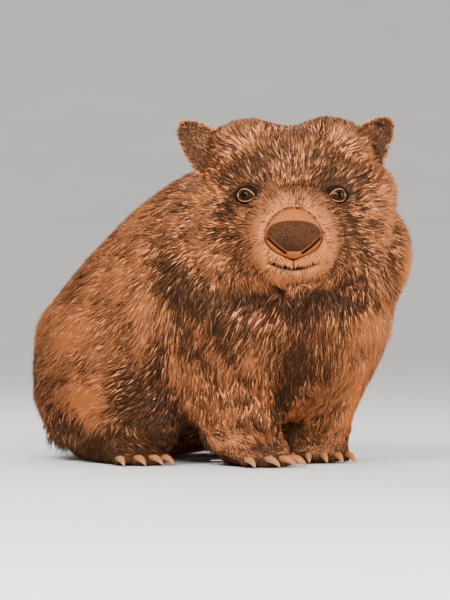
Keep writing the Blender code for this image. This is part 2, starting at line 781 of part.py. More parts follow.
def part_off(body, name, region):
    """The share of the body inside a region; the body keeps the rest, a gap away."""
    piece = copied(body, name)
    inner, outer = region(0.0), region(GAP)
    boolean(piece, inner, "INTERSECT")
    boolean(body, outer, "DIFFERENCE")
    remove(inner, outer)
    return piece


def box_region(box):
    return lambda extra: block("region", *box, extra=extra)


def egg_region(egg_size, box=None):
    """An ellipsoid, cut off by a box where one is given."""
    centre, radii = egg_size

    def made(extra):
        egg = ellipsoid("region", centre, [r + extra for r in radii], 16)
        if box:
            limits = block("limits", *box, extra=extra)
            boolean(egg, limits, "INTERSECT")
            remove(limits)
        return egg

    return made


def head_region(extra):
    """The skull's egg, with all that hangs in front of the throat."""
    place = head_matrix()
    centre, radii = HEAD_EGG
    egg = ellipsoid("region", centre, [r + extra for r in radii], 16, place)
    front = block("front", *HEAD_FRONT, place, extra)
    boolean(egg, front, "UNION")
    remove(front)
    return egg


def sided_box(side, box):
    """A box given for the left side, on the side asked for."""
    low, high = box
    if side > 0:
        return box
    return (-high[0], low[1], low[2]), (-low[0], high[1], high[2])


def sided_egg(side, egg):
    (x, y, z), radii = egg
    return (side * x, y, z), radii


def parted(body):
    """The body's nodes by name."""
    nodes = {}
    nodes["head"] = part_off(body, "head", head_region)
    for side, mark in ((-1, "r"), (1, "l")):
        cuts = [
            ("forefoot_", box_region(sided_box(side, FOREFOOT_BOX))),
            ("hindfoot_", box_region(sided_box(side, HINDFOOT_BOX))),
            ("foreleg_", egg_region(sided_egg(side, FORELEG_EGG), sided_box(side, FORELEG_BOX))),
            ("hindleg_", egg_region(sided_egg(side, HINDLEG_EGG), sided_box(side, HINDLEG_BOX))),
        ]
        for name, region in cuts:
            nodes[name + mark] = part_off(body, name + mark, region)
    nodes["neck"] = part_off(body, "neck", egg_region(NECK_EGG))
    nodes["tail"] = part_off(body, "tail", egg_region(TAIL_EGG))
    nodes["torso"] = body
    body.name = "torso"
    for node in nodes.values():
        keep_largest(node)
    return nodes


def finish_head(body):
    """Lids, sockets, mouth and the seats of nose and ears; returns the new pieces."""
    tree = surface(body)
    pieces = {}
    for side, mark in ((-1, "r"), (1, "l")):
        place = eye_place(tree, side)
        rim = lids(side, place)
        boolean(body, rim, "UNION")
        remove(rim)
        centre = place @ Vector((0, 0, -EYE_SINK))
        name = "eye_" + mark
        pieces[name] = ellipsoid(name, centre, (EYE_RADIUS,) * 3, segments=16)
        pieces["ear_" + mark] = ear("ear_" + mark, side)
    for line in (MOUTH, PHILTRUM):
        path = [front_point(tree, x, z) for x, z in line]
        cutter = tube("groove", path, [MOUTH_RADIUS] * len(path), head_forward())
        boolean(body, cutter, "DIFFERENCE")
        remove(cutter)
    pieces["nose"] = nose_pad()
    for piece in pieces.values():
        seat(body, piece)
    return pieces


def finish_foot(node, name, side, placed, toes):
    place = foot_matrix(side, placed)
    claws = {}
    for number, toe in enumerate(toes, 1):
        if toe[5] > 0:
            title = "claw_" + name + "_" + str(number)
            claws[title] = claw(title, toe, place)
    seat(node, *claws.values())
    keep_largest(node)
    return claws


FUR = ("fur_body", (0.40, 0.147, 0.056), 0.9)
FACE = ("fur_face", (0.48, 0.177, 0.067), 0.9)
PAWS = ("fur_paws", (0.40, 0.147, 0.056), 0.9)
NOSE_SKIN = ("nose_skin", (0.075, 0.028, 0.013), 0.55)
EYE_GLOSS = ("eye_gloss", (0.010, 0.006, 0.004), 0.08)
HORN = ("claw_horn", (0.600, 0.300, 0.150), 0.45)


def kind_of(name):
    if name in ("head", "ear_l", "ear_r"):
        return FACE
    if "claw" in name:
        return HORN
    if "foot" in name:
        return PAWS
    if name.startswith("eye"):
        return EYE_GLOSS
    return NOSE_SKIN if name == "nose" else FUR


def dress(nodes):
    """Gives each node its own material and its smooth shading."""
    for name, node in nodes.items():
        node.data.name = name
        node.name = name
        node.data.materials.clear()
        slot, colour, roughness = kind_of(name)
        node.data.materials.append(material(name + "_" + slot, colour, roughness))
        node.data.shade_smooth()
        node.data.set_sharp_from_angle(angle=SHARP)


def centre_on_origin(nodes):
    """Moves all so that the bounding box stands on z = 0 with its middle over the origin."""
    corners = np.array([v.co for node in nodes.values() for v in node.data.vertices])
    low, high = corners.min(axis=0), corners.max(axis=0)
    move = Vector((-(low[0] + high[0]) / 2, -(low[1] + high[1]) / 2, -low[2]))
    for node in nodes.values():
        node.data.transform(Matrix.Translation(move))
    return move


clear_scene()
whole_body = fuse("body", body_pieces())
add_locks(whole_body)
trim_soles(whole_body)
head_extras = finish_head(whole_body)
all_nodes = parted(whole_body)
all_nodes.update(head_extras)
for foot_name, foot_side, foot_placed, _, foot_toes in FEET:
    all_nodes.update(
        finish_foot(all_nodes[foot_name], foot_name, foot_side, foot_placed, foot_toes)
    )
dress(all_nodes)
body_move = centre_on_origin(all_nodes)
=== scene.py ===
"""A sitting young wombat: skin, coat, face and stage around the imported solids.

Lengths are in metres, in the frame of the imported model: the animal faces -Y, its right
side is towards -X, and the floor is Z = 0.
"""

import math

import bmesh
import bpy
import numpy as np
from mathutils import Matrix, Vector
from mathutils.kdtree import KDTree


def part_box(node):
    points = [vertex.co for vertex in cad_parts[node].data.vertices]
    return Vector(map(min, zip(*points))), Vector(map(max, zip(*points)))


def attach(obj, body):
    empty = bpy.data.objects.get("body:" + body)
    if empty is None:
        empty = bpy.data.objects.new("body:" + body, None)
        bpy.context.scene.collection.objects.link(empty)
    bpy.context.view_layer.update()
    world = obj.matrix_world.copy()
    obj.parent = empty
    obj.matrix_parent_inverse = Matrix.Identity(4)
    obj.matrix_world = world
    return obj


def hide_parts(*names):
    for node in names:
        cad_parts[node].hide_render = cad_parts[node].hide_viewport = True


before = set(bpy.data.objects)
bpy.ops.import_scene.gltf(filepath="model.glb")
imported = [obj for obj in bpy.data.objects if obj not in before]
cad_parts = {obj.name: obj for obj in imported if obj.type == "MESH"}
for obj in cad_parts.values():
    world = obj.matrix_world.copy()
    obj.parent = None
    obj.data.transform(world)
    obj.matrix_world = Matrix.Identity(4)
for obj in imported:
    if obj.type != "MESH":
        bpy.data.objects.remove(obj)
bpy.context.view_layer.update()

# Places taken over from the solids
SHIFT = np.array([0.0, -0.15761, 0.0])  # from the solids' working frame
HEAD_AT = Vector((-0.0735, -0.0312, 0.2718)) + Vector(SHIFT)
HEAD_YAW = math.radians(-42)
HEAD_PITCH = math.radians(4)
HEAD_EGG = np.array([0.165, 0.130, 0.128])
HEAD_MIDDLE = np.array([0.0, -0.02, 0.02])
EYE_LOOK = Vector((0.50, -0.86, 0.06))
EYE_RADIUS = 0.0090
EYE_SINK = 0.0042
LID_SLANT = math.radians(8)
NOSE_AT = Vector((0.0, -0.0840, -0.0375))
NOSE_RADII = Vector((0.0257, 0.0150, 0.0242))
NOSE_WIDTHS = [(-1.0, 0.40), (-0.93, 0.62), (-0.80, 0.92), (-0.60, 1.02), (-0.25, 1.06),
               (0.15, 1.02), (0.6, 0.96), (1.0, 0.95)]
NOSE_LEAN = math.radians(-14)
NOSTRIL = [(0.0245, -0.0418), (0.0195, -0.0468), (0.0140, -0.0514), (0.0080, -0.0558)]
MOUTH = [(-0.0260, -0.0632), (-0.0170, -0.0668), (-0.0080, -0.0698), (0.0, -0.0706),
         (0.0080, -0.0698), (0.0170, -0.0668), (0.0260, -0.0632)]
RIGHT_EAR = (Vector((-0.076, 0.046, 0.042)), Vector((-0.110, 0.040, 0.074)))
LEFT_EAR = (Vector((0.073, 0.046, 0.044)), Vector((0.102, 0.040, 0.078)))
EAR_FACE = Vector((0.10, -1.0, 0.10))
EAR_HALF_WIDTH = 0.024
EAR_CUP = 0.010

FLESH = ["head", "neck", "torso", "tail", "foreleg_l", "foreleg_r", "hindleg_l",
         "hindleg_r", "forefoot_l", "forefoot_r", "hindfoot_l", "hindfoot_r"]
SKIN_VOXEL = 0.0025
COAT_SEED = 11

# Colours of the hair and the bare skin, linear
PALE_HAIR = (0.800, 0.308, 0.122)
DARK_HAIR = (0.023, 0.0145, 0.011)
BRIGHT_HAIR = (0.960, 0.300, 0.078)
UNDERFUR = (0.285, 0.126, 0.066)
PALE_UNDERFUR = (0.540, 0.205, 0.082)
MUZZLE_SKIN = (0.330, 0.100, 0.028)


def head_matrix():
    return (Matrix.Translation(HEAD_AT) @ Matrix.Rotation(HEAD_YAW, 4, "Z")
            @ Matrix.Rotation(HEAD_PITCH, 4, "X"))


HEAD = head_matrix()
HEAD_TURN = np.array(HEAD.to_3x3())


def in_head(points):
    """The points in the head's frame."""
    return (points - np.array(HEAD_AT)) @ HEAD_TURN


def from_head(vectors):
    """Directions of the head's frame, in the model's frame."""
    return vectors @ HEAD_TURN.T


def unit(vectors):
    return vectors / np.maximum(np.linalg.norm(vectors, axis=-1, keepdims=True), 1e-9)


def ramp(value, low, high):
    """0 below low, 1 above high and smooth between."""
    t = np.clip((value - low) / (high - low), 0.0, 1.0)
    return t * t * (3 - 2 * t)


def hills(points, rows):
    """The sum of soft spots: centre, radii and strength of each."""
    total = np.zeros(len(points))
    for centre, radii, strength in rows:
        away = (points - np.array(centre)) / np.array(radii)
        total += strength * np.exp(-(away**2).sum(axis=1))
    return total


def waves(points, scale, seed, count=10):
    """Smooth noise, about -1 to 1, from a few random sine waves of that wavelength."""
    rng = np.random.default_rng(seed)
    total = np.zeros(len(points))
    for _ in range(count):
        way = unit(rng.normal(size=3)) * 2 * math.pi / (scale * rng.uniform(0.6, 1.6))
        total += np.sin(points @ way + rng.uniform(0, 2 * math.pi))
    return total / math.sqrt(count)


def mesh_from(name, points, faces, smooth=True):
    """An object from arrays of points and of faces that all have as many corners."""
    faces = np.asarray(faces, np.int32)
    corners = faces.shape[1]
    mesh = bpy.data.meshes.new(name)
    mesh.vertices.add(len(points))
    mesh.loops.add(faces.size)
    mesh.polygons.add(len(faces))
    mesh.vertices.foreach_set("co", np.asarray(points, np.float32).ravel())
    mesh.loops.foreach_set("vertex_index", faces.ravel())
    mesh.polygons.foreach_set("loop_start", np.arange(len(faces), dtype=np.int32) * corners)
    mesh.update(calc_edges=True)
    mesh.polygons.foreach_set("use_smooth", np.full(len(faces), smooth))
    made = bpy.data.objects.new(name, mesh)
    bpy.context.scene.collection.objects.link(made)
    return made


def numbers(mesh, name, values):
    """A named number on each corner point of the mesh."""
    mesh.attributes.new(name, "FLOAT", "POINT").data.foreach_set(
        "value", np.asarray(values, np.float32))


def points_of(mesh):
    flat = np.empty(len(mesh.vertices) * 3, np.float32)
    mesh.vertices.foreach_get("co", flat)
    return flat.reshape(-1, 3).astype(float)


def edges_of(mesh):
    flat = np.empty(len(mesh.edges) * 2, np.int32)
    mesh.edges.foreach_get("vertices", flat)
    return flat.reshape(-1, 2)


def normals_of(mesh):
    flat = np.empty(len(mesh.vertices) * 3, np.float32)
    mesh.vertices.foreach_get("normal", flat)
    return flat.reshape(-1, 3).astype(float)


def relax(values, edges, weight, rounds):
    """Each row moved towards the mean of its neighbours, ``rounds`` times."""
    count = len(values)
    degree = np.bincount(edges.ravel(), minlength=count).astype(float)
    weight = np.asarray(weight, float).reshape(-1, 1) if np.ndim(weight) else weight
    for _ in range(rounds):
        mean = np.empty_like(values)
        for axis in range(values.shape[1]):
            column = values[:, axis]
            mean[:, axis] = (np.bincount(edges[:, 0], column[edges[:, 1]], count)
                             + np.bincount(edges[:, 1], column[edges[:, 0]], count))
        mean /= np.maximum(degree, 1)[:, None]
        values = values + (mean - values) * weight
    return values


def near_feet(points):
    """1 on the feet, falling to 0 up the legs."""
    x, y, z = (points - SHIFT).T
    forward = 1 - ramp(y, 0.105, 0.130)
    outer = ramp(np.abs(x), 0.080, 0.092) * (1 - ramp(y, 0.160, 0.185))
    return np.maximum(forward, outer) * (1 - ramp(z, 0.034, 0.060))


def in_skull(points):
    """1 on the head, falling to 0 over the neck."""
    spot = in_head(points)
    away = np.linalg.norm((spot - HEAD_MIDDLE) / HEAD_EGG, axis=1)
    front = 1 - ramp(spot[:, 1], -0.045, -0.015)
    low = ramp(spot[:, 2], -0.150, -0.110)
    return np.maximum(1 - ramp(away, 0.86, 1.06), front * low)


def from_nose(points):
    """Distance from the nose pad, in the head's frame."""
    return np.linalg.norm(in_head(points) - np.array([0.0, -0.086, -0.042]), axis=1)


def eye_frames():
    """A frame at each eye's lids: Z looks out of the eye, X runs along the slit."""
    frames = {}
    for side, mark in ((-1, "r"), (1, "l")):
        low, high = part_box("eye_" + mark)
        centre = (low + high) / 2
        look = (HEAD.to_3x3() @ Vector((side * EYE_LOOK.x, EYE_LOOK.y, EYE_LOOK.z))).normalized()
        along = Vector((0, 0, 1)).cross(look).normalized()
        turn = Matrix((along, look.cross(along), look)).transposed().to_4x4()
        frames[mark] = (Matrix.Translation(centre + look * EYE_SINK) @ turn
                        @ Matrix.Rotation(LID_SLANT * side, 4, "Z"))
    return frames


EYES = eye_frames()


def in_frame(points, matrix):
    turn = np.array(matrix.to_3x3())
    return (points - np.array(matrix.translation)) @ turn


def eye_ring(points):
    """How far out from the nearer eye's slit: 1 at the lids' rim, more further away."""
    best = np.full(len(points), 99.0)
    for place in EYES.values():
        spot = in_frame(points, place)
        ring = np.sqrt((spot[:, 0] / 0.0100) ** 2 + (spot[:, 1] / 0.0074) ** 2)
        ring = np.where(np.abs(spot[:, 2]) < 0.012, ring, 99.0)
        best = np.minimum(best, ring)
    return best


def coat_length(points):
    """Length of the hair at each point."""
    work = points - SHIFT
    x, y, z = work.T
    body = 0.024 + 0.004 * ramp(y, 0.10, 0.30)
    legs = (1 - ramp(z, 0.03, 0.15)) * (1 - ramp(y, 0.11, 0.15))
    body = body * (1 - legs) + 0.014 * legs
    hind = (1 - ramp(z, 0.02, 0.06)) * (1 - ramp(y, 0.19, 0.23)) * ramp(y, 0.10, 0.13)
    body = body * (1 - hind) + 0.014 * hind
    spot = in_head(points)
    away = from_nose(points)
    face = np.interp(away, [0.020, 0.034, 0.050, 0.070, 0.100, 0.150],
                     [0.0042, 0.0075, 0.0110, 0.0135, 0.0170, 0.0220])
    beard = ramp(-spot[:, 2], 0.074, 0.090) * ramp(away, 0.030, 0.050)
    face = face * (1 - beard) + 0.017 * beard
    crown = ramp(spot[:, 2], 0.030, 0.055)
    face = face * (1 - crown) + np.minimum(face, 0.015) * crown
    eyes = ramp(eye_ring(points), 1.0, 3.4)
    face = face * (0.30 + 0.70 * eyes)
    skull = in_skull(points)
    length = body * (1 - skull) + face * skull
    feet = near_feet(points)
    toes = 0.0052 + 0.006 * ramp(z, 0.014, 0.040)
    toes = toes + 0.0050 * ramp(y, 0.058, 0.078) * ramp(z, 0.003, 0.010)
    tail = ramp(y, 0.300, 0.350) * (1 - ramp(z, 0.060, 0.110))
    length = length * (1 - 0.72 * tail)
    sole = (1 - ramp(z, 0.020, 0.050)) * ramp(y, 0.18, 0.22)
    length = length * (1 - 0.22 * sole)
    return length * (1 - feet) + toes * feet


def coat_depth(points):
    """How far the skin lies inside the solids."""
    crown = ramp(in_head(points)[:, 2], 0.030, 0.055) * in_skull(points)
    share = 0.36 - 0.26 * crown
    return np.clip(share * coat_length(points), 0.0008, 0.0085)


def lie(points):
    """The way the hair lies, not yet laid onto the surface."""
    work = points - SHIFT
    x, y, z = work.T
    side = np.sign(x)
    flank = 1 - ramp(z, 0.19, 0.31)
    flow = np.column_stack([0.10 * side, np.ones(len(x)), -0.18 - 0.42 * flank])
    rump = ramp(y, 0.24, 0.38)[:, None]
    flow = flow * (1 - rump) + np.column_stack([0 * x, 0.35 + 0 * x, -1 + 0 * x]) * rump
    low = (1 - ramp(z, 0.030, 0.085))[:, None] * ramp(y, 0.16, 0.20)[:, None]
    flow = flow * (1 - low) + np.column_stack([0.2 * side, -0.35 + 0 * x, -1 + 0 * x]) * low
    # shoulder and upper arm, then the legs
    fore = ((1 - ramp(y, 0.085, 0.150)) * (1 - ramp(z, 0.16, 0.26)))[:, None]
    axis = np.where(x < 0, -0.068, 0.068)
    leg = np.column_stack([(x - axis) * 5, (y - 0.066) * 5 + 0.10, -1 + 0 * x])
    flow = flow * (1 - fore) + leg * fore
    chest = ((1 - ramp(y, -0.01, 0.05)) * ramp(z, 0.085, 0.13))[:, None]
    throat = work - np.array([-0.03, -0.02, 0.235])
    spread = unit(throat) + np.array([0.0, 0.0, -0.45])
    flow = flow * (1 - chest) + spread * chest
    feet = near_feet(points)[:, None]
    turn = np.where(x < 0, math.radians(-2), math.radians(-34))
    ahead = np.column_stack([np.sin(turn), -np.cos(turn), -0.35 + 0 * x])
    flow = flow * (1 - feet) + ahead * feet
    spot = in_head(points)
    ray = unit(spot - np.array([0.0, -0.100, -0.038]))
    ray = ray + np.column_stack([0 * x, 0.25 + 0 * x, -0.30 * (1 - ramp(spot[:, 2], -0.02, 0.03))])
    under = (ramp(-spot[:, 2], 0.066, 0.080) * (1 - ramp(spot[:, 1], -0.02, 0.02)))[:, None]
    ray = ray * (1 - under) + np.column_stack([2 * spot[:, 0], 0.20 + 0 * x, -1 + 0 * x]) * under
    skull = in_skull(points)[:, None]
    return unit(unit(flow) * (1 - skull) + unit(from_head(ray)) * skull)


# Soft spots of darker and paler coat: centre, radii, strength. They hold the coat's markings
# together with painted light: painted shade under the head, behind the elbow and low on the
# haunch, and painted highlights on the flank and haunch. Those of the flanks are written for
# the right side and lie on both.
FLANK_SPOTS = [
    ((-0.147, 0.056, 0.146), (0.050, 0.034, 0.025), -0.52),
    ((-0.150, 0.052, 0.074), (0.050, 0.032, 0.018), -0.52),
    ((-0.153, 0.010, 0.058), (0.030, 0.026, 0.014), -0.30),
    ((-0.150, -0.013, 0.040), (0.030, 0.018, 0.010), -0.22),
    ((-0.148, -0.055, 0.150), (0.030, 0.018, 0.024), -0.38),
    ((-0.146, -0.012, 0.204), (0.040, 0.015, 0.026), -0.34),
    ((-0.142, -0.010, 0.225), (0.040, 0.050, 0.030), -0.10),
    ((-0.136, -0.022, 0.084), (0.040, 0.030, 0.026), 0.14),
    ((-0.139, -0.033, 0.083), (0.040, 0.030, 0.030), 0.22),
    ((-0.150, 0.030, 0.014), (0.060, 0.100, 0.030), 0.60),
    ((-0.146, 0.115, 0.040), (0.040, 0.045, 0.026), 0.42),
    ((-0.149, 0.119, 0.105), (0.040, 0.030, 0.030), 0.12),
    ((-0.105, -0.045, 0.045), (0.050, 0.035, 0.040), 0.60),
    ((-0.134, -0.103, 0.212), (0.040, 0.026, 0.025), 0.62),
    ((-0.133, -0.085, 0.218), (0.030, 0.018, 0.018), 0.30),
    ((-0.128, -0.122, 0.156), (0.040, 0.034, 0.026), 0.26),
    ((-0.122, -0.138, 0.184), (0.040, 0.034, 0.020), 0.60),
    ((-0.135, -0.066, 0.138), (0.040, 0.014, 0.026), 0.42),
    ((-0.141, 0.010, 0.082), (0.050, 0.036, 0.016), -0.26),
    ((-0.138, -0.002, 0.106), (0.040, 0.022, 0.014), -0.25),
    ((-0.142, 0.000, 0.066), (0.040, 0.030, 0.010), -0.15),
    ((-0.138, 0.066, 0.050), (0.040, 0.024, 0.010), 0.35),
    ((-0.134, 0.098, 0.080), (0.040, 0.020, 0.022), 0.22),
    ((-0.105, 0.150, 0.178), (0.050, 0.040, 0.030), -0.25),
    ((-0.100, 0.000, 0.265), (0.050, 0.080, 0.030), -0.18),
    ((-0.140, -0.020, 0.190), (0.050, 0.110, 0.045), -0.12),
]
# Those of the chest are mostly painted: painted shade of the head's shadow under the chin and in the fold
# between the forelegs, and paler spots of painted light.
CHEST_SPOTS = [
    ((-0.074, -0.190, 0.173), (0.050, 0.040, 0.0080), 1.00),
    ((-0.020, -0.203, 0.175), (0.030, 0.030, 0.007), 0.45),
    ((0.018, -0.197, 0.154), (0.030, 0.030, 0.014), -0.36),
    ((-0.010, -0.188, 0.132), (0.012, 0.030, 0.013), 0.30),
    ((0.030, -0.180, 0.112), (0.022, 0.040, 0.018), -0.40),
    ((-0.058, -0.170, 0.120), (0.020, 0.040, 0.036), 0.34),
    ((-0.040, -0.160, 0.090), (0.018, 0.040, 0.024), 0.14),
    ((0.045, -0.193, 0.160), (0.024, 0.030, 0.022), -0.30),
]
# Bands along a line: its points, half width, strength. Pale bands are painted highlights down
# the near foreleg and the far side; dark bands are painted shade in the folds of the upper arm
# and the chest.
BANDS = [
    ([(-0.145, -0.088, 0.143), (-0.133, -0.078, 0.105), (-0.115, -0.078, 0.073),
      (-0.104, -0.085, 0.045), (-0.095, -0.096, 0.021)], 0.0080, -0.70),
    ([(-0.106, -0.156, 0.124), (-0.085, -0.162, 0.109), (-0.069, -0.150, 0.082),
      (-0.055, -0.141, 0.055)], 0.0075, -0.60),
    ([(-0.095, -0.106, 0.025), (-0.086, -0.130, 0.035), (-0.056, -0.140, 0.035)], 0.0070, -0.35),
    ([(-0.137, -0.100, 0.122), (-0.133, -0.120, 0.129), (-0.121, -0.139, 0.130),
      (-0.108, -0.153, 0.122)], 0.0060, 0.55),
    ([(-0.137, -0.100, 0.110), (-0.131, -0.120, 0.117), (-0.119, -0.139, 0.118),
      (-0.104, -0.153, 0.110)], 0.0065, -0.50),
    ([(-0.062, -0.169, 0.099), (-0.050, -0.147, 0.074), (-0.037, -0.135, 0.048)], 0.0110, 0.45),
    ([(0.092, -0.195, 0.225), (0.095, -0.188, 0.183), (0.082, -0.181, 0.136),
      (0.076, -0.160, 0.104), (0.084, -0.135, 0.072), (0.070, -0.130, 0.046)], 0.0160, -0.70),
]
# Those of the head, in its frame, mix markings with painted shade under the chin and jaw and on the crown,
# and painted light on the far cheek.
HEAD_SPOTS = [
    ((-0.046, -0.026, 0.018), (0.026, 0.040, 0.016), 0.22),
    ((0.048, -0.026, 0.018), (0.028, 0.040, 0.016), 0.25),
    ((-0.030, -0.030, 0.006), (0.014, 0.040, 0.022), 0.15),
    ((0.028, -0.030, 0.012), (0.014, 0.040, 0.022), 0.15),
    ((-0.060, -0.027, -0.022), (0.026, 0.050, 0.026), 0.10),
    ((0.060, -0.027, -0.022), (0.026, 0.050, 0.026), 0.15),
    ((0.0, -0.015, -0.095), (0.054, 0.050, 0.0085), 0.90),
    ((-0.085, 0.000, -0.075), (0.030, 0.050, 0.022), 0.02),
    ((0.085, 0.010, -0.072), (0.020, 0.050, 0.022), 0.22),
    ((0.0, -0.050, -0.081), (0.052, 0.060, 0.006), -0.10),
    ((-0.010, -0.020, 0.030), (0.016, 0.040, 0.016), 0.18),
    ((-0.035, 0.000, 0.050), (0.018, 0.050, 0.014), -0.08),
    ((0.062, 0.010, 0.050), (0.020, 0.050, 0.014), -0.06),
    ((0.070, -0.008, 0.014), (0.018, 0.040, 0.014), 0.14),
    ((-0.034, -0.049, 0.000), (0.010, 0.030, 0.008), 0.25),
    ((0.050, -0.035, -0.012), (0.014, 0.040, 0.012), 0.16),
    ((0.016, -0.030, 0.014), (0.012, 0.040, 0.012), -0.15),
    ((0.058, -0.030, -0.066), (0.020, 0.040, 0.014), -0.20),
    ((0.062, 0.000, -0.078), (0.016, 0.040, 0.009), 0.34),
    ((0.085, 0.045, -0.050), (0.020, 0.040, 0.020), -0.20),
    ((-0.028, 0.000, 0.042), (0.016, 0.050, 0.012), -0.18),
    ((-0.079, -0.005, -0.006), (0.014, 0.040, 0.016), -0.22),
    ((0.0, -0.020, 0.050), (0.060, 0.060, 0.034), 0.10),
    ((0.0, -0.060, -0.004), (0.030, 0.045, 0.010), -0.10),
    ((0.046, -0.020, -0.050), (0.016, 0.060, 0.040), 0.16),
    ((-0.046, -0.020, -0.050), (0.014, 0.060, 0.040), 0.10),
    ((-0.085, 0.010, -0.040), (0.030, 0.070, 0.034), -0.20),
    ((0.094, 0.040, -0.010), (0.022, 0.060, 0.070), -0.34),
    ((-0.070, 0.030, 0.020), (0.020, 0.060, 0.030), -0.10),
]


def beside(points, path):
    """Distance of each point from a line through the points of ``path``."""
    best = np.full(len(points), 9.0)
    for first, last in zip(path, path[1:]):
        a, way = np.array(first), np.array(last) - np.array(first)
        t = np.clip((points - a) @ way / (way @ way), 0, 1)
        best = np.minimum(best, np.linalg.norm(points - a - t[:, None] * way, axis=1))
    return best


def pale_muzzle(points):
    """1 on the pale muzzle round nose and mouth, 0 outside its border."""
    x, y, z = in_head(points).T
    ring = np.hypot(x / 0.0400, (z + 0.0425) / 0.0415)
    return (1 - ramp(ring, 0.88, 1.10)) * (1 - ramp(y, -0.035, -0.020))


def markings_and_painted_light(points):
    """Share of dark hair at each point, 0 to 1, for skin and coat alike: the coat's markings together with
    painted shade and painted highlights.
    """
    base = 0.52 + 0.09 * waves(points, 0.055, 3) + 0.09 * waves(points, 0.020, 4)
    folded = points.copy()
    folded[:, 0] = -np.abs(folded[:, 0])
    body = hills(folded, FLANK_SPOTS) + hills(points, CHEST_SPOTS)
    for path, half, strength in BANDS:
        body += strength * np.exp(-(beside(points, path) / half) ** 2)
    skull = in_skull(points)
    base += body * (1 - skull) + hills(in_head(points), HEAD_SPOTS) * skull
    base += 0.45 * (1 - ramp(eye_ring(points), 1.20, 1.90))
    base += (0.16 + 0.45 * (1 - ramp(points[:, 2], 0.006, 0.015))) * near_feet(points)
    pale = pale_muzzle(points)
    border = 0.20 + 0.22 * ramp(in_head(points)[:, 2], -0.022, -0.004)
    base = base * (1 - pale) + (border + 0.10 * waves(points, 0.020, 4)) * pale
    return np.clip(base, 0.02, 0.90)


# Where the coat stands further out than the solids or closer in: centre, radii, by how much
BODY_BULK = [
    ((-0.150, 0.115, 0.050), (0.060, 0.070, 0.046), -0.0095),
    ((-0.125, 0.025, 0.235), (0.050, 0.060, 0.035), -0.0050),
    ((-0.148, 0.090, 0.148), (0.050, 0.050, 0.030), 0.0040),
    ((-0.090, 0.168, 0.156), (0.050, 0.055, 0.032), 0.0065),
    ((0.078, -0.125, 0.040), (0.020, 0.040, 0.014), -0.0040),
    ((0.100, -0.185, 0.165), (0.050, 0.070, 0.050), -0.0080),
    ((0.075, -0.150, 0.095), (0.045, 0.050, 0.035), -0.0050),
]
HEAD_BULK = [
    ((0.095, 0.020, 0.006), (0.034, 0.070, 0.036), 0.0165),
    ((0.0, 0.000, 0.070), (0.090, 0.080, 0.025), 0.0025),
    ((0.030, 0.000, 0.070), (0.035, 0.080, 0.025), 0.0020),
]


def flesh():
    """The flesh nodes' solids as one voxel skin, its faces nearly square."""
    work = bmesh.new()
    for name in FLESH:
        work.from_mesh(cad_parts[name].data)
    bmesh.ops.remove_doubles(work, verts=work.verts, dist=0.00001)
    work.normal_update()
    moves = [v.normal * 0.0004 for v in work.verts]
    for vertex, move in zip(work.verts, moves):
        vertex.co += move
    mesh = bpy.data.meshes.new("skin")
    work.to_mesh(mesh)
    work.free()
    skin = bpy.data.objects.new("skin", mesh)
    bpy.context.scene.collection.objects.link(skin)
    remesh = skin.modifiers.new("fuse", "REMESH")
    remesh.mode = "VOXEL"
    remesh.voxel_size = SKIN_VOXEL
    bpy.context.view_layer.update()
    graph = bpy.context.evaluated_depsgraph_get()
    done = bpy.data.meshes.new_from_object(skin.evaluated_get(graph))
    skin.modifiers.clear()
    skin.data = done
    return skin


def finer(skin, chosen):
    """Splits the faces whose corners all lie where ``chosen`` says."""
    work = bmesh.new()
    work.from_mesh(skin.data)
    points = np.array([v.co for v in work.verts])
    wanted = chosen(points)
    edges = [e for e in work.edges if wanted[e.verts[0].index] and wanted[e.verts[1].index]]
    bmesh.ops.subdivide_edges(work, edges=edges, cuts=1, use_grid_fill=True)
    work.to_mesh(skin.data)
    work.free()


def around_face(points):
    spot = in_head(points)
    return ((np.abs(spot[:, 0]) < 0.062) & (spot[:, 1] < -0.030)
            & (spot[:, 2] > -0.092) & (spot[:, 2] < 0.016))


def around_mouth(points):
    spot = in_head(points)
    return ((np.abs(spot[:, 0]) < 0.032) & (spot[:, 1] < -0.060)
            & (spot[:, 2] > -0.080) & (spot[:, 2] < -0.052))


def mouth_height(x):
    return np.interp(x, [p[0] for p in MOUTH], [p[1] for p in MOUTH])


def over_nose(points):
    """Below 1 inside the outline of the nose, seen from in front."""
    spot = in_head(points)
    local = (spot - np.array(NOSE_AT)) @ np.array(Matrix.Rotation(NOSE_LEAN, 3, "X"))
    rise = np.clip(local[:, 2] / NOSE_RADII.z, -1, 1)
    wide = np.interp(rise, [w[0] for w in NOSE_WIDTHS], [w[1] for w in NOSE_WIDTHS])
    ring = np.hypot(local[:, 0] / (wide * NOSE_RADII.x), local[:, 2] / NOSE_RADII.z)
    return np.where(spot[:, 1] < -0.062, ring, 9.0)


def carve_face(points):
    """Lips, the line of the mouth and the groove under the nose, pressed into the skin."""
    spot = in_head(points)
    x, y, z = spot.T
    front = 1 - ramp(y, -0.060, -0.050)
    rise = z - mouth_height(x)
    reach = 1 - ramp(np.abs(x), 0.021, 0.027)
    push = 0.0034 * np.exp(-(rise / 0.0012) ** 2) * reach
    push -= 0.0009 * np.exp(-((np.abs(rise) - 0.0032) / 0.0018) ** 2) * reach
    groove = ramp(z, -0.0720, -0.0700) * (1 - ramp(z, -0.056, -0.052))
    push += 0.0016 * np.exp(-(x / 0.0009) ** 2) * groove
    return points + from_head(np.column_stack([0 * x, push * front, 0 * x]))


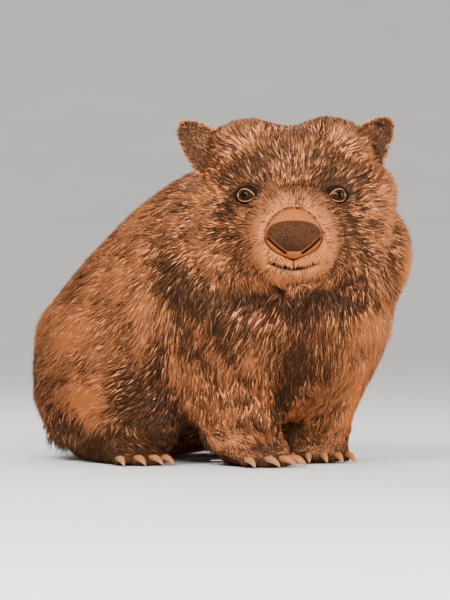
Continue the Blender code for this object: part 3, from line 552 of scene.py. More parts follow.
def build_skin():
    skin = flesh()
    points = points_of(skin.data)
    edges = edges_of(skin.data)
    spot = in_head(points)
    muzzle = 1 - ramp(from_nose(points), 0.038, 0.075)
    muzzle = muzzle * ramp(spot[:, 2], -0.086, -0.078)
    soft = 1 - 0.93 * np.maximum(muzzle, near_feet(points))
    rings = eye_ring(points)
    crown = in_skull(points) * ramp(spot[:, 2], -0.02, 0.02)
    points = relax(points, edges, 0.5 * soft * (1 - crown), 110)
    for _ in range(40):
        points = relax(points, edges, 0.50 * crown, 1)
        points = relax(points, edges, -0.52 * crown, 1)
    skin.data.vertices.foreach_set("co", points.astype(np.float32).ravel())
    finer(skin, around_face)
    finer(skin, around_mouth)
    points = points_of(skin.data)
    edges = edges_of(skin.data)
    face = around_face(points).astype(float)
    points = relax(points, edges, 0.5 * face, 6)
    skin.data.vertices.foreach_set("co", points.astype(np.float32).ravel())
    skin.data.update()
    normals = unit(relax(normals_of(skin.data), edges, 0.5, 8))
    skull = in_skull(points)
    bulk = hills(points, BODY_BULK) * (1 - skull) * (1 - near_feet(points))
    bulk += hills(in_head(points), HEAD_BULK) * skull
    points = points - normals * (coat_depth(points) - bulk)[:, None]
    points = relax(points, edges, 0.5 * (1 - np.maximum(skull, near_feet(points))), 20)
    points = carve_face(points)
    for place in EYES.values():
        spot = in_frame(points, place)
        ring = np.sqrt((spot[:, 0] / 0.0100) ** 2 + (spot[:, 1] / 0.0074) ** 2)
        inside = (ring < 1.25) & (np.abs(spot[:, 2]) < 0.016)
        floor = -0.0036 - 0.0008 * (1 - ramp(ring, 0.8, 1.2))
        share = (1 - ramp(ring, 1.0, 1.25)) * inside
        spot[:, 2] += (floor - spot[:, 2]) * share
        moved = spot @ np.array(place.to_3x3()).T + np.array(place.translation)
        points = np.where(inside[:, None], moved, points)
    points[:, 2] = np.maximum(points[:, 2], 0.0002)
    skin.data.vertices.foreach_set("co", points.astype(np.float32).ravel())
    skin.data.update()
    numbers(skin.data, "tone", markings_and_painted_light(points))
    numbers(skin.data, "muzzle", 1 - ramp(from_nose(points), 0.026, 0.045))
    # The mouth attribute is painted shade in the creases: a dark line along the mouth, round the rim of the
    # nose, strongest below, and in the groove under the nose
    spot = in_head(points)
    line = np.exp(-((spot[:, 2] - mouth_height(spot[:, 0])) / 0.0026) ** 4)
    line *= (1 - ramp(np.abs(spot[:, 0]), 0.022, 0.027)) * (spot[:, 1] < -0.055)
    rim = np.exp(-((over_nose(points) - 1.0) / 0.062) ** 4)
    rim *= 0.90 - 0.35 * ramp(spot[:, 2], -0.045, -0.020)
    groove = np.exp(-(spot[:, 0] / 0.0010) ** 4) * (1 - ramp(spot[:, 2], -0.058, -0.054))
    groove *= ramp(spot[:, 2], -0.0720, -0.0700) * (spot[:, 1] < -0.055)
    numbers(skin.data, "mouth", np.maximum(np.maximum(line, rim), 0.8 * groove))
    skin.data.polygons.foreach_set("use_smooth", np.ones(len(skin.data.polygons), bool))
    return skin


def unwrap(item):
    """The surface laid flat in islands by its own shape."""
    bpy.ops.object.select_all(action="DESELECT")
    bpy.context.view_layer.objects.active = item
    item.select_set(True)
    item.data.uv_layers.new(name="OFBake")
    bpy.ops.object.mode_set(mode="EDIT")
    bpy.ops.mesh.select_all(action="SELECT")
    bpy.ops.uv.smart_project(angle_limit=math.radians(66), island_margin=0.001)
    bpy.ops.object.mode_set(mode="OBJECT")


class Ground:
    """Triangles of a surface, ready to root hair in: corners, normals and unwrap."""

    def __init__(self, item, smoothing):
        mesh = item.data
        mesh.calc_loop_triangles()
        count = len(mesh.loop_triangles)
        corners = np.empty(count * 3, np.int32)
        loops = np.empty(count * 3, np.int32)
        mesh.loop_triangles.foreach_get("vertices", corners)
        mesh.loop_triangles.foreach_get("loops", loops)
        laid = np.empty(len(mesh.loops) * 2, np.float32)
        mesh.uv_layers["OFBake"].data.foreach_get("uv", laid)
        self.corners = corners.reshape(-1, 3)
        self.laid = laid.reshape(-1, 2)[loops.reshape(-1, 3)]
        self.points = points_of(mesh)
        self.normals = unit(relax(normals_of(mesh), edges_of(mesh), 0.5, smoothing))
        a, b, c = (self.points[self.corners[:, k]] for k in range(3))
        self.middles = (a + b + c) / 3
        self.areas = np.linalg.norm(np.cross(b - a, c - a), axis=1) / 2

    def roots(self, density, rng):
        """Root points, normals and places on the unwrap, ``density`` to the square metre."""
        heap = np.cumsum(self.areas * density(self.middles))
        count = int(heap[-1])
        picks = (np.arange(count) + rng.uniform(0, 1, count)) * heap[-1] / count
        face = np.minimum(np.searchsorted(heap, picks), len(heap) - 1)
        u, v = rng.uniform(0, 1, (2, count))
        flip = u + v > 1
        u, v = np.where(flip, 1 - u, u), np.where(flip, 1 - v, v)
        share = np.column_stack([1 - u - v, u, v])[:, :, None]
        corners = self.corners[face]
        return ((self.points[corners] * share).sum(axis=1),
                unit((self.normals[corners] * share).sum(axis=1)),
                (self.laid[face] * share).sum(axis=1))


# A lock bends half way, and a single hair is straight. Points: (across, up, along)
LOCK_FACES = np.array([
    (2, 1, 0), (0, 1, 4), (0, 4, 3), (1, 2, 5), (1, 5, 4), (2, 0, 3), (2, 3, 5),
    (3, 4, 6), (4, 5, 6), (5, 3, 6)])
HAIR_FACES = np.array([(2, 1, 0), (0, 1, 3), (1, 2, 3), (2, 0, 3)])
PATCH = 0.0015  # half the width of a tuft's patch on the unwrap
MOST = 190000  # triangles in one piece


def grow(name, roots, normals, laid, ways, lengths, widths, lifts, tones, stuff, bent=True):
    """Closed tapered tufts as one or more meshes: locks of ten triangles or hairs of four."""
    ways = unit(ways - normals * (ways * normals).sum(axis=1)[:, None])
    across = np.cross(ways, normals)
    span, lift = lengths[:, None], lifts[:, None]
    half, thick = widths[:, None] / 2, widths[:, None] * 0.42
    start = roots - normals * 0.0010
    rows = [start + normals * thick, start + across * half, start - across * half]
    patch = [(0, -1), (1, -1), (-1, -1)]
    if bent:
        middle = roots + ways * span * 0.42 + normals * lift * 0.72
        rows += [middle + normals * thick * 0.8, middle + across * half * 0.95,
                 middle - across * half * 0.95]
        patch += [(0, 0), (1, 0), (-1, 0)]
    rows.append(roots + ways * span + normals * lift)
    patch = np.array(patch + [(0, 1)]) * PATCH
    shape = LOCK_FACES if bent else HAIR_FACES
    along = patch[:, 1] / (2 * PATCH) + 0.5
    stack = np.stack(rows, axis=1)
    stack[:, :, 2] = np.maximum(stack[:, :, 2], 0.0003)
    points = stack.shape[1]
    most = MOST // len(shape)
    made = []
    for part, first in enumerate(range(0, len(roots), most)):
        rows = slice(first, min(first + most, len(roots)))
        count = rows.stop - rows.start
        faces = (shape[None] + points * np.arange(count)[:, None, None]).reshape(-1, 3)
        piece = mesh_from(name + "_" + str(part + 1), stack[rows].reshape(-1, 3), faces)
        numbers(piece.data, "tone", np.repeat(tones[rows], points))
        numbers(piece.data, "along", np.tile(along, count))
        spots = laid[rows][:, None, :] + patch[None]
        flat = spots.reshape(-1, 2)[faces.ravel()]
        piece.data.uv_layers.new(name="OFBake").data.foreach_set(
            "uv", flat.astype(np.float32).ravel())
        piece.data.materials.append(stuff)
        made.append(piece)
    return made


def clumped(roots, ways, lengths, spacing, pull, rng):
    """Ways and random numbers shared by neighbours, so that the hair gathers in locks."""
    count = len(roots)
    area = 0.42
    picks = rng.choice(count, min(int(area / spacing**2), count), replace=False)
    tree = KDTree(len(picks))
    for k, pick in enumerate(picks):
        tree.insert(roots[pick], k)
    tree.balance()
    near = np.array([tree.find(p)[1] for p in roots])
    heads = picks[near]
    goal = roots[heads] + ways[heads] * lengths[heads][:, None]
    drawn = unit(goal - roots)
    draws = rng.uniform(0, 1, len(picks))[near]
    return unit(ways * (1 - pull) + drawn * pull), draws


def drawn_tones(share, draws, mix, rng):
    """Tones of the tufts, 0 pale to 1 dark, dark ones in the given share."""
    count = len(share)
    mixed = mix * draws + (1 - mix) * rng.uniform(0, 1, count)
    tones = 1 - ramp(mixed, share - 0.07, share + 0.07)
    return 0.82 * tones + (0.02 + 0.14 * rng.uniform(0, 1, count)) * (0.25 + 0.75 * ramp(share, 0.02, 0.30))


def coat(ground, stuff, bent):
    """One layer of the coat over the whole skin, shortest on the face and the feet.

    Broad bent locks make the lower layer of the long coat. Fine straight hairs lie over
    them and make the whole coat of the face and the feet.
    """
    rng = np.random.default_rng(COAT_SEED + (0 if bent else 1))

    def density(points):
        length = coat_length(points)
        if bent:
            base = 0.112e6 * ramp(length, 0.009, 0.018)
        else:
            base = np.interp(length, [0.003, 0.006, 0.012, 0.022], [1.25e6, 0.87e6, 0.66e6, 0.39e6])
        bare = (eye_ring(points) > 1.08) * (over_nose(points) > 1.02)
        spot = in_head(points)
        over_lip = spot[:, 2] - mouth_height(spot[:, 0])
        lips = ((over_lip > -0.0018) & (over_lip < 0.0036)
                & (np.abs(spot[:, 0]) < 0.025) & (spot[:, 1] < -0.055))
        groove = ((np.abs(spot[:, 0]) < 0.0013) & (over_lip > 0) & (spot[:, 2] < -0.054)
                  & (spot[:, 1] < -0.055))
        under = ramp(points[:, 2], 0.0006, 0.0040)
        return base * bare * ~lips * ~groove * under

    roots, normals, laid = ground.roots(density, rng)
    count = len(roots)
    length = coat_length(roots)
    ways = lie(roots)
    ways = unit(ways - normals * (ways * normals).sum(axis=1)[:, None])
    sway = (0.14 if bent else 0.20) + 0.08 * ramp(length, 0.006, 0.020)
    ways = unit(ways + np.cross(normals, ways) * (
        0.20 * waves(roots, 0.030, 7) + sway * rng.normal(size=count))[:, None])
    length = length * rng.uniform(0.70, 1.20, count)
    ways, draws = clumped(roots, ways, length, 0.0070, 0.34 if bent else 0.26, rng)
    depth = coat_depth(roots)
    lifts = depth * rng.uniform(0.70, 1.10, count) * (0.9 if bent else 1.1)
    spot = in_head(roots)
    beard = ramp(-spot[:, 2], 0.070, 0.086) * in_skull(roots) * (1 - ramp(spot[:, 1], -0.03, 0.0))
    if bent:
        widths = np.interp(length, [0.008, 0.016, 0.026], [0.0014, 0.0018, 0.0021])
    else:
        widths = np.interp(length, [0.003, 0.008, 0.016, 0.026], [0.0009, 0.0011, 0.0013, 0.0014])
    widths = widths * rng.uniform(0.8, 1.25, count)
    tones = drawn_tones(markings_and_painted_light(roots), draws, 0.25, rng)
    ways = unit(ways + np.array([0.0, 0.0, -0.9]) * beard[:, None])
    return grow("locks" if bent else "hairs", roots, normals, laid, ways, length, widths,
                lifts, tones, stuff, bent)


def new_material(name, roughness, specular=0.3):
    made = bpy.data.materials.new(name)
    made.use_nodes = True
    shader = made.node_tree.nodes["Principled BSDF"]
    shader.inputs["Roughness"].default_value = roughness
    shader.inputs["Specular IOR Level"].default_value = specular
    return made, made.node_tree, shader


def node(tree, kind, **settings):
    made = tree.nodes.new(kind)
    for key, value in settings.items():
        setattr(made, key, value)
    return made


def mixed_colour(tree, share, first, second):
    """A colour mixed by a socket; each colour is a socket or a plain colour."""
    mix = node(tree, "ShaderNodeMix", data_type="RGBA")
    tree.links.new(share, mix.inputs["Factor"])
    for socket, colour in ((mix.inputs[6], first), (mix.inputs[7], second)):
        if isinstance(colour, tuple):
            socket.default_value = (*colour, 1.0)
        else:
            tree.links.new(colour, socket)
    return mix.outputs[2]


def value_of(tree, name):
    return node(tree, "ShaderNodeAttribute", attribute_name=name).outputs["Fac"]


def mapped(tree, socket, low, high, to_low, to_high):
    made = node(tree, "ShaderNodeMapRange")
    for key, value in (("From Min", low), ("From Max", high), ("To Min", to_low), ("To Max", to_high)):
        made.inputs[key].default_value = value
    tree.links.new(socket, made.inputs["Value"])
    return made.outputs["Result"]


def noise(tree, scale, detail=3.0, roughness=0.55):
    place = node(tree, "ShaderNodeTexCoord").outputs["Object"]
    made = node(tree, "ShaderNodeTexNoise")
    made.inputs["Scale"].default_value = scale
    made.inputs["Detail"].default_value = detail
    made.inputs["Roughness"].default_value = roughness
    tree.links.new(place, made.inputs["Vector"])
    return made.outputs["Fac"]


def bump(tree, shader, height, strength, distance):
    made = node(tree, "ShaderNodeBump")
    made.inputs["Strength"].default_value = strength
    made.inputs["Distance"].default_value = distance
    tree.links.new(height, made.inputs["Height"])
    tree.links.new(made.outputs["Normal"], shader.inputs["Normal"])


def hair_material():
    made, tree, shader = new_material("hair", 0.82, 0.04)
    # tone: share of dark hair, the coat's markings with painted shade and painted highlights; the palest
    # tufts shade into BRIGHT_HAIR
    tone = value_of(tree, "tone")
    usual = mapped(tree, tone, 0.0, 0.10, 0.0, 1.0)
    pale = mixed_colour(tree, usual, BRIGHT_HAIR, PALE_HAIR)
    base = mixed_colour(tree, tone, pale, DARK_HAIR)
    # Painted shade deep in the coat: each tuft darker towards its root, less so on the palest tufts
    along = value_of(tree, "along")
    rooty = node(tree, "ShaderNodeMath", operation="MULTIPLY")
    tree.links.new(mapped(tree, along, 0.0, 0.60, 0.45, 0.0), rooty.inputs[0])
    tree.links.new(mapped(tree, usual, 0.0, 1.0, 0.42, 1.0), rooty.inputs[1])
    shade = rooty.outputs[0]
    rooted = mixed_colour(tree, shade, base, (0.070, 0.036, 0.022))
    drift = mapped(tree, noise(tree, 90.0), 0.35, 0.70, 0.0, 0.25)
    warm = mixed_colour(tree, drift, rooted, (0.540, 0.204, 0.088))
    patch = mapped(tree, tone, 0.3, 0.7, 1.0, 0.0)
    blend = mixed_colour(tree, patch, rooted, warm)
    tree.links.new(blend, shader.inputs["Base Color"])
    return made


def skin_material():
    made, tree, shader = new_material("skin", 0.80, 0.08)
    # tone: the same markings, painted shade and painted highlights as the hair
    tone = value_of(tree, "tone")
    usual = mapped(tree, tone, 0.05, 0.35, 0.0, 1.0)
    pale = mixed_colour(tree, usual, PALE_UNDERFUR, UNDERFUR)
    coat_side = mixed_colour(tree, tone, pale, (0.022, 0.012, 0.008))
    grain = noise(tree, 700.0, 4.0)
    speck = mapped(tree, grain, 0.35, 0.65, 0.0, 0.4)
    bare = mixed_colour(tree, speck, MUZZLE_SKIN, (0.420, 0.160, 0.065))
    hide = mixed_colour(tree, value_of(tree, "muzzle"), coat_side, bare)
    # painted shade of the mouth line, the nose's rim and the groove under the nose
    whole = mixed_colour(tree, value_of(tree, "mouth"), hide, (0.020, 0.011, 0.008))
    tree.links.new(whole, shader.inputs["Base Color"])
    bump(tree, shader, grain, 0.4, 0.0006)
    return made


def tube_faces(rows, columns, loop_rows=False, loop_columns=True):
    """Four-cornered faces of a grid of points, row by row."""
    faces = []
    for r in range(rows if loop_rows else rows - 1):
        for c in range(columns if loop_columns else columns - 1):
            n, e = (r + 1) % rows, (c + 1) % columns
            faces.append((r * columns + c, r * columns + e, n * columns + e, n * columns + c))
    return faces


def outward(item):
    """Turns the faces of a closed piece outwards and closes open ends."""
    work = bmesh.new()
    work.from_mesh(item.data)
    bmesh.ops.holes_fill(work, edges=[e for e in work.edges if e.is_boundary])
    bmesh.ops.recalc_face_normals(work, faces=work.faces)
    work.to_mesh(item.data)
    work.free()
    item.data.polygons.foreach_set("use_smooth", np.ones(len(item.data.polygons), bool))
    return item


def to_model(points):
    """Points of the head's frame, in the model's frame."""
    return from_head(points) + np.array(HEAD_AT)


def line_distance(x, z, path):
    """Distance from a polyline in the face's front view, and the share along it."""
    best = np.full(len(x), 9.0)
    where = np.zeros(len(x))
    for k in range(len(path) - 1):
        a, b = np.array(path[k]), np.array(path[k + 1])
        way = b - a
        t = np.clip(((x - a[0]) * way[0] + (z - a[1]) * way[1]) / (way @ way), 0, 1)
        away = np.hypot(x - a[0] - way[0] * t, z - a[1] - way[1] * t)
        where = np.where(away < best, (k + t) / (len(path) - 1), where)
        best = np.minimum(best, away)
    return best, where


PAD_MIDDLE, PAD_HALF, PAD_POWER = (0.0, -0.0395), (0.0262, 0.0148), 2.5


def pad_ring(x, z):
    """Below 1 on the dark granular pad of the nose, seen from in front."""
    away = (np.abs(x - PAD_MIDDLE[0]) / PAD_HALF[0]) ** PAD_POWER
    away = away + (np.abs(z - PAD_MIDDLE[1]) / PAD_HALF[1]) ** PAD_POWER
    return away ** (1 / PAD_POWER)


def build_nose():
    """The nose: a granular pad under a paler band, with slit nostrils and their wings."""
    rows, columns = 96, 110
    rise = np.linspace(0.01, math.pi - 0.01, rows)[:, None]
    turn = (np.arange(columns) * 2 * math.pi / columns)[None]
    x = (np.sin(rise) * np.cos(turn)).ravel()
    y = (np.sin(rise) * np.sin(turn)).ravel()
    z = (np.cos(rise) + 0 * turn).ravel()
    wide = np.interp(z, [w[0] for w in NOSE_WIDTHS], [w[1] for w in NOSE_WIDTHS])
    deep = np.where(y < 0, -np.abs(y) ** 0.8, y)
    local = np.column_stack([x * wide * NOSE_RADII.x, deep * NOSE_RADII.y, z * NOSE_RADII.z])
    lean = np.array(Matrix.Rotation(NOSE_LEAN, 3, "X"))
    spot = local @ lean.T + np.array(NOSE_AT)
    # smooth the bend of the width table
    grid = spot.reshape(rows, columns, 3)
    for _ in range(6):
        grid[1:-1] = (grid[:-2] + grid[2:] + 2 * grid[1:-1]) / 4
    spot = grid.reshape(-1, 3)
    x, y, z = spot.T
    front = ramp(-y, 0.080, 0.086)
    push = np.zeros(len(x))
    shade = np.zeros(len(x))
    near = np.full(len(x), 9.0)
    for side in (-1, 1):
        away, share = line_distance(x * side, z, NOSTRIL)
        near = np.minimum(near, away)
        width = np.interp(share, [0.0, 0.3, 1.0], [0.0016, 0.0014, 0.0011])
        push += 0.0048 * np.exp(-(away / width) ** 2)
        push -= 0.0009 * np.exp(-((away - 2.3 * width) / 0.0014) ** 2)
        shade = np.maximum(shade, np.exp(-(away / (width * 1.05)) ** 4))
    seam = ramp(z, -0.0640, -0.0600) * (1 - ramp(z, -0.0525, -0.0490))
    push += 0.0012 * np.exp(-(x / 0.0008) ** 2) * seam
    ring = pad_ring(x, z)
    push -= 0.0011 * (1 - ramp(ring, 0.80, 1.03))
    push += 0.0004 * np.exp(-((ring - 1.04) / 0.03) ** 2)
    spot[:, 1] += push * front
    dark = 1 - ramp(ring, 0.95, 1.02)
    over = z - np.interp(np.abs(x), [p[0] for p in NOSTRIL[::-1]], [p[1] for p in NOSTRIL[::-1]])
    dark = dark * ramp(near, 0.0019, 0.0027) * ramp(over, 0.0, 0.0010)
    nose = mesh_from("nose_pad", to_model(spot), tube_faces(rows, columns))
    outward(nose)
    numbers(nose.data, "pad", dark)
    # Painted shade on the nose, kept in the slit attribute: dark in the nostril slits, at the nose's edge
    # where it turns back into the face, and low on the pad, most towards -X
    low = 0.60 * dark * (1 - ramp(z, -0.052, -0.034)) * (1 - ramp(x, -0.012, 0.012))
    low = np.maximum(low, 0.35 * dark * (1 - ramp(z, -0.052, -0.040)))
    edge = 0.85 * (1 - ramp(-y, 0.0735, 0.0785))
    numbers(nose.data, "slit", np.maximum(np.maximum(shade * front, edge), low))
    return nose


def build_eye(mark, place):
    rows, columns = 40, 64
    rise = np.linspace(0.02, math.pi - 0.02, rows)[:, None]
    turn = (np.arange(columns) * 2 * math.pi / columns)[None]
    local = np.column_stack([(np.sin(rise) * np.cos(turn)).ravel(),
                             (np.sin(rise) * np.sin(turn)).ravel(),
                             (np.cos(rise) + 0 * turn).ravel()])
    angle = np.degrees(np.arccos(local[:, 2]))
    swell = 1 + 0.05 * (1 - ramp(angle, 20, 42))
    points = local * swell[:, None] * EYE_RADIUS - np.array([0, 0, EYE_SINK])
    world = points @ np.array(place.to_3x3()).T + np.array(place.translation)
    eye = outward(mesh_from("eyeball_" + mark, world, tube_faces(rows, columns)))
    numbers(eye.data, "angle", angle)
    return eye


LID_OPEN = (0.0076, 0.0056)  # half width and half height of the slit
LID_ROWS = [
    # share outwards from the slit's edge, height over the eyeball, share of the skin's level
    (0.90, -0.0012, 0.0), (0.99, 0.0003, 0.0), (1.05, 0.0009, 0.0), (1.14, 0.0012, 0.1),
    (1.25, 0.0011, 0.35), (1.40, 0.0005, 0.7), (1.60, -0.0006, 1.0), (1.80, -0.0028, 1.0),
    (1.40, -0.0060, 1.0), (1.00, -0.0045, 0.5),
]


def build_lids(mark, place):
    """Both lids as one ring that leaves the eyeball and dives into the skin."""
    steps = 72
    turn = np.arange(steps) * 2 * math.pi / steps
    rings = []
    rim = []
    for share, height, flat in LID_ROWS:
        u = LID_OPEN[0] * share * np.cos(turn)
        v = LID_OPEN[1] * share * np.sin(turn)
        # the corners are drawn out, and the upper lid is fuller
        u = u * (1 + 0.12 * np.abs(np.cos(turn)) ** 6)
        v = v * (1 + 0.05 * np.sin(turn))
        ball = np.sqrt(np.maximum(EYE_RADIUS**2 - u**2 - v**2, 0)) - EYE_SINK
        ball = np.maximum(ball, -0.0022)
        level = ball * (1 - flat) + 0.0005 * flat
        w = level + height + 0.0003 * np.maximum(np.sin(turn), 0)
        rings.append(np.column_stack([u, v, w]))
        rim.append(np.full(steps, share))
    points = np.concatenate(rings)
    world = points @ np.array(place.to_3x3()).T + np.array(place.translation)
    faces = tube_faces(len(rings), steps, loop_rows=True)
    lids = outward(mesh_from("eyelids_" + mark, world, faces))
    numbers(lids.data, "rim", np.concatenate(rim))
    return lids


def ear_axes(side):
    """Root, axis to the tip, width and facing directions, and length of an ear."""
    base, tip = LEFT_EAR if side > 0 else RIGHT_EAR
    face = Vector((side * EAR_FACE.x, EAR_FACE.y, EAR_FACE.z))
    axis = (tip - base).normalized()
    face = (face - axis * face.dot(axis)).normalized()
    across = axis.cross(face)
    return np.array(base), np.array(axis), np.array(across), np.array(face), (tip - base).length


def ear_half(side, u, v):
    """Half width of an ear at u, 0 at the root to 1 at the tip; the left one is nicked."""
    reach = np.clip(u, 0.0, 1.0)
    half = EAR_HALF_WIDTH * ((1 - reach) ** 0.62 * (1 + 0.2 * reach) * 0.92 + 0.08)
    half = half * (1 - 0.35 * np.maximum(-u, 0.0) / 0.35)
    if side > 0:
        half = half * (1 - 0.22 * np.exp(-((u - 0.52) / 0.09) ** 2) * ramp(v, 0.2, 0.9))
    return half


def ear_point(side, u, v):
    """A point of the ear's middle sheet: u from root to tip, v across, -1 to 1."""
    base, axis, across, face, length = ear_axes(side)
    depth = EAR_CUP * (1 - v * v) * (1 - 0.5 * np.clip(u, 0.0, 1.0))
    return (base + axis * (length * u)[:, None] + across * (ear_half(side, u, v) * v)[:, None]
            - face * depth[:, None]), face


def build_ear(side, mark):
    """One ear: a cupped leaf that thins towards its rim, front and back sheets joined."""
    rows, columns = 36, 28
    u = np.repeat(np.linspace(-0.35, 1.0, rows), columns)
    v = np.tile(np.linspace(-1, 1, columns), rows)
    middle, face = ear_point(side, u, v)
    thick = 0.0011 + 0.0012 * (1 - ramp(u, -0.3, 0.7))
    thick = thick * np.sqrt(np.maximum(1 - np.abs(v) ** 6, 0.0) + 0.05)
    ruffle = 0.0008 * waves(middle, 0.014, 9)
    front = middle + face[None] * (thick + ruffle)[:, None]
    back = middle - face[None] * (thick - ruffle)[:, None]
    loops = []
    for r in range(rows):
        one = slice(r * columns, (r + 1) * columns)
        loops.append(np.concatenate([front[one], back[one][::-1]]))
    points = np.concatenate(loops)
    ear = outward(mesh_from("ear_skin_" + mark, to_model(points),
                            tube_faces(rows, 2 * columns)))
    spot = in_head(points_of(ear.data))
    inner = np.tile(np.concatenate([np.ones(columns), np.zeros(columns)]), rows)
    numbers(ear.data, "inner", inner)
    # tone darker on the inner face: painted shade in the hollow of the ear
    numbers(ear.data, "tone", np.clip(0.35 + 0.4 * inner, 0, 1))
    return ear


def nose_material():
    made, tree, shader = new_material("nose_leather", 0.60, 0.04)
    place = node(tree, "ShaderNodeTexCoord").outputs["Object"]
    cells = node(tree, "ShaderNodeTexVoronoi")
    cells.inputs["Scale"].default_value = 900.0
    tree.links.new(place, cells.inputs["Vector"])
    grain = cells.outputs["Distance"]
    fine = noise(tree, 1400.0, 4.0)
    pitted = mapped(tree, grain, 0.15, 0.75, 0.0, 1.0)
    pad = mixed_colour(tree, pitted, (0.095, 0.034, 0.013), (0.024, 0.010, 0.005))
    speck = mapped(tree, fine, 0.4, 0.6, 0.0, 0.6)
    band = mixed_colour(tree, speck, (0.320, 0.092, 0.022), (0.240, 0.072, 0.019))
    both = mixed_colour(tree, value_of(tree, "pad"), band, pad)
    # The slit attribute is painted shade: the nostrils, the nose's edge and the lower pad
    whole = mixed_colour(tree, value_of(tree, "slit"), both, (0.008, 0.004, 0.003))
    tree.links.new(whole, shader.inputs["Base Color"])
    bump(tree, shader, grain, 0.55, 0.0007)
    return made


def eye_material():
    made, tree, shader = new_material("eye_gloss", 0.04, 0.16)
    shader.inputs["Specular Tint"].default_value = (1.0, 0.68, 0.44, 1.0)
    angle = value_of(tree, "angle")
    iris = mapped(tree, angle, 24.0, 28.0, 0.0, 1.0)
    white = mapped(tree, angle, 44.0, 50.0, 0.0, 1.0)
    colour = mixed_colour(tree, iris, (0.002, 0.001, 0.001), (0.016, 0.007, 0.004))
    colour = mixed_colour(tree, white, colour, (0.030, 0.016, 0.011))
    tree.links.new(colour, shader.inputs["Base Color"])
    return made


def lid_material():
    made, tree, shader = new_material("lid_skin", 0.70, 0.03)
    rim = value_of(tree, "rim")
    # Dark at the slit's edge, pale on the crest and dark outside it; the pale crest is the lid's lighter
    # edge and also a painted highlight where it catches the light
    inside = mapped(tree, rim, 1.00, 1.06, 0.0, 1.0)
    outside = mapped(tree, rim, 1.12, 1.20, 0.0, 1.0)
    colour = mixed_colour(tree, inside, (0.014, 0.007, 0.005), (0.420, 0.150, 0.055))
    colour = mixed_colour(tree, outside, colour, (0.010, 0.006, 0.004))
    tree.links.new(colour, shader.inputs["Base Color"])
    bump(tree, shader, noise(tree, 900.0, 4.0), 0.35, 0.0005)
    return made


def ear_material():
    made, tree, shader = new_material("ear_skin", 0.8, 0.05)
    grain = noise(tree, 500.0, 4.0)
    speck = mapped(tree, grain, 0.35, 0.65, 0.0, 0.6)
    # The front face, inside the cup, is darker than the back: painted shade in the hollow of the ear
    back = mixed_colour(tree, speck, (0.080, 0.030, 0.014), (0.034, 0.014, 0.008))
    front = mixed_colour(tree, speck, (0.034, 0.014, 0.008), (0.016, 0.008, 0.005))
    whole = mixed_colour(tree, value_of(tree, "inner"), back, front)
    tree.links.new(whole, shader.inputs["Base Color"])
    bump(tree, shader, grain, 0.4, 0.0006)
    return made


def claw_material():
    made, tree, shader = new_material("claw_horn", 0.38, 0.45)
    streaks = noise(tree, 420.0, 3.0)
    share = mapped(tree, streaks, 0.35, 0.68, 0.0, 1.0)
    colour = mixed_colour(tree, share, (0.430, 0.158, 0.052), (0.260, 0.100, 0.040))
    tree.links.new(colour, shader.inputs["Base Color"])
    bump(tree, shader, streaks, 0.3, 0.0004)
    return made


def ear_coat(ear, side, stuff):
    """Short hair on both faces of an ear, lying from its root to its rim and tip."""
    rng = np.random.default_rng(COAT_SEED + 5 + side)
    ground = Ground(ear, 0)
    base, axis, across, face, reach = ear_axes(side)

    def density(points):
        up = (in_head(points) - base) @ axis
        return 1.8e6 * ramp(up, -0.024, -0.018)

    roots, normals, laid = ground.roots(density, rng)
    count = len(roots)
    spot = in_head(roots) - base
    inner = ramp((normals @ HEAD_TURN) @ face, -0.3, 0.2)
    u = spot @ axis / reach
    v = spot @ across / ear_half(side, u, 0 * u)
    side_way = spot - (spot @ axis)[:, None] * axis
    ways = from_head(unit(axis[None] + 25 * side_way))
    ways = unit(ways + 0.28 * rng.normal(size=(count, 3)))
    length = (0.0048 + 0.0015 * inner) * rng.uniform(0.7, 1.2, count)
    lifts = length * rng.uniform(0.12, 0.30, count)
    widths = 0.0011 * rng.uniform(0.8, 1.2, count)
    # Tufts inside the cup are darker, most in a band towards the outer edge: painted shade in the hollow of
    # the ear
    share = 0.90 + 0.10 * inner * np.exp(-((v * side - 0.50) / 0.30) ** 2) - 0.25 * (1 - inner)
    rim = np.maximum(ramp(np.abs(v), 0.88, 1.00), ramp(u, 0.93, 1.00))
    share = share * (1 - rim) + 0.25 * rim
    length = length * (1 - 0.25 * rim)
    tones = drawn_tones(share, 0, 0.0, rng)
    mark = "l" if side > 0 else "r"
    return grow("ear_coat_" + mark, roots, normals, laid, ways, length, widths, lifts,
                tones, stuff, False)


skin = build_skin()
unwrap(skin)
hair = hair_material()
skin.data.materials.append(skin_material())
ground = Ground(skin, 16)
pieces = [(piece, "fur_body") for bent in (True, False) for piece in coat(ground, hair, bent)]
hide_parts(*FLESH)
pieces.append((skin, "fur_body"))
nose = build_nose()
nose.data.materials.append(nose_material())
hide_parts("nose")
pieces.append((nose, "nose_skin"))
eye_look, lid_look, ear_look = eye_material(), lid_material(), ear_material()
for mark, side in (("r", -1), ("l", 1)):
    eye = build_eye(mark, EYES[mark])
    eye.data.materials.append(eye_look)
    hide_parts("eye_" + mark)
    lids = build_lids(mark, EYES[mark])
    lids.data.materials.append(lid_look)
    ear = build_ear(side, mark)
    unwrap(ear)
    ear.data.materials.append(ear_look)
    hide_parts("ear_" + mark)
    pieces += [(eye, "eye_gloss"), (lids, "fur_face"), (ear, "fur_face")]
    pieces += [(piece, "fur_face") for piece in ear_coat(ear, side, hair)]
for piece, slot in pieces:
    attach(piece, "root")
horn = claw_material()
for cad_name, cad_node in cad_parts.items():
    if cad_name.startswith("claw"):
        cad_node.data.materials.clear()
        cad_node.data.materials.append(horn)


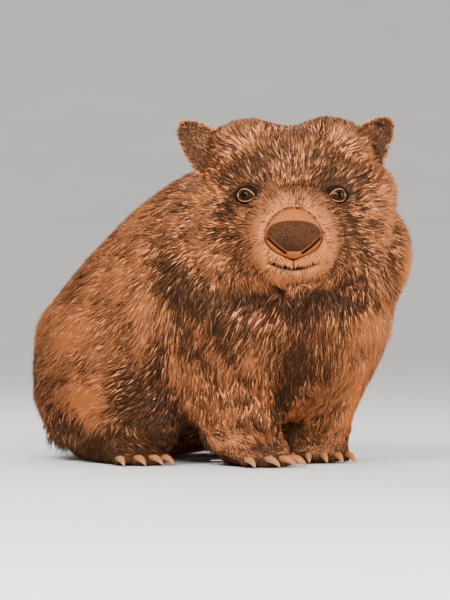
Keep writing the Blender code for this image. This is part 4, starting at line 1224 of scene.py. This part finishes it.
def stage():
    """A pale floor that curves up behind, and soft lights."""
    floor_material, tree, shader = new_material("floor", 0.85, 0.2)
    soft = mapped(tree, noise(tree, 3.0), 0.3, 0.7, 0.0, 1.0)
    tree.links.new(mixed_colour(tree, soft, (0.74, 0.72, 0.69), (0.78, 0.76, 0.73)),
                   shader.inputs["Base Color"])
    steps = 96
    turn = np.arange(steps) * 2 * math.pi / steps
    radii = np.concatenate([[0.01], np.linspace(0.9, 9.0, 60)])
    rise = 3.4 * np.maximum((radii - 0.9) / 8.1, 0) ** 2.8
    rings = [np.column_stack([r * np.cos(turn), r * np.sin(turn), np.full(steps, h)])
             for r, h in zip(radii, rise)]
    floor = mesh_from("floor", np.concatenate(rings), tube_faces(len(radii), steps))
    floor.data.materials.append(floor_material)
    world = bpy.data.worlds.new("studio")
    bpy.context.scene.world = world
    world.use_nodes = True
    sky = world.node_tree.nodes["Background"]
    sky.inputs["Color"].default_value = (1.0, 1.0, 1.0, 1.0)
    sky.inputs["Strength"].default_value = 0.78
    lamps = [
        ("key", (-2.1, -0.9, 1.7), 1.2, 100.0),
        ("fill", (-1.10, -1.72, 0.80), 0.7, 42.0),
        ("side", (1.5, -2.0, 0.8), 1.4, 44.0),
        ("back", (0.9, 1.6, 1.7), 1.2, 30.0),
    ]
    for name, place, size, power in lamps:
        light = bpy.data.lights.new(name, "AREA")
        light.shape = "DISK"
        light.size = size
        light.energy = power
        lamp = bpy.data.objects.new(name, light)
        bpy.context.scene.collection.objects.link(lamp)
        lamp.location = place
        lamp.rotation_mode = "QUATERNION"
        aim = Vector((-0.03, 0.02, 0.17)) - Vector(place)
        lamp.rotation_quaternion = aim.to_track_quat("-Z", "Y")


def camera():
    azimuth = math.radians(-42)
    ahead = Vector((-math.sin(azimuth), math.cos(azimuth), 0))
    focus = Vector((0.0, 0.148 + SHIFT[1], 0.10))
    rise = math.atan(69 / 1828)
    view = bpy.data.cameras.new("camera")
    view.sensor_width = 36
    view.lens = 1828 / 600 * 36
    eye = bpy.data.objects.new("camera", view)
    bpy.context.scene.collection.objects.link(eye)
    eye.location = focus - ahead * 2.0
    look = (ahead * math.cos(rise) + Vector((0, 0, math.sin(rise)))).normalized()
    eye.rotation_mode = "QUATERNION"
    eye.rotation_quaternion = look.to_track_quat("-Z", "Y")
    bpy.context.scene.camera = eye


stage()
camera()
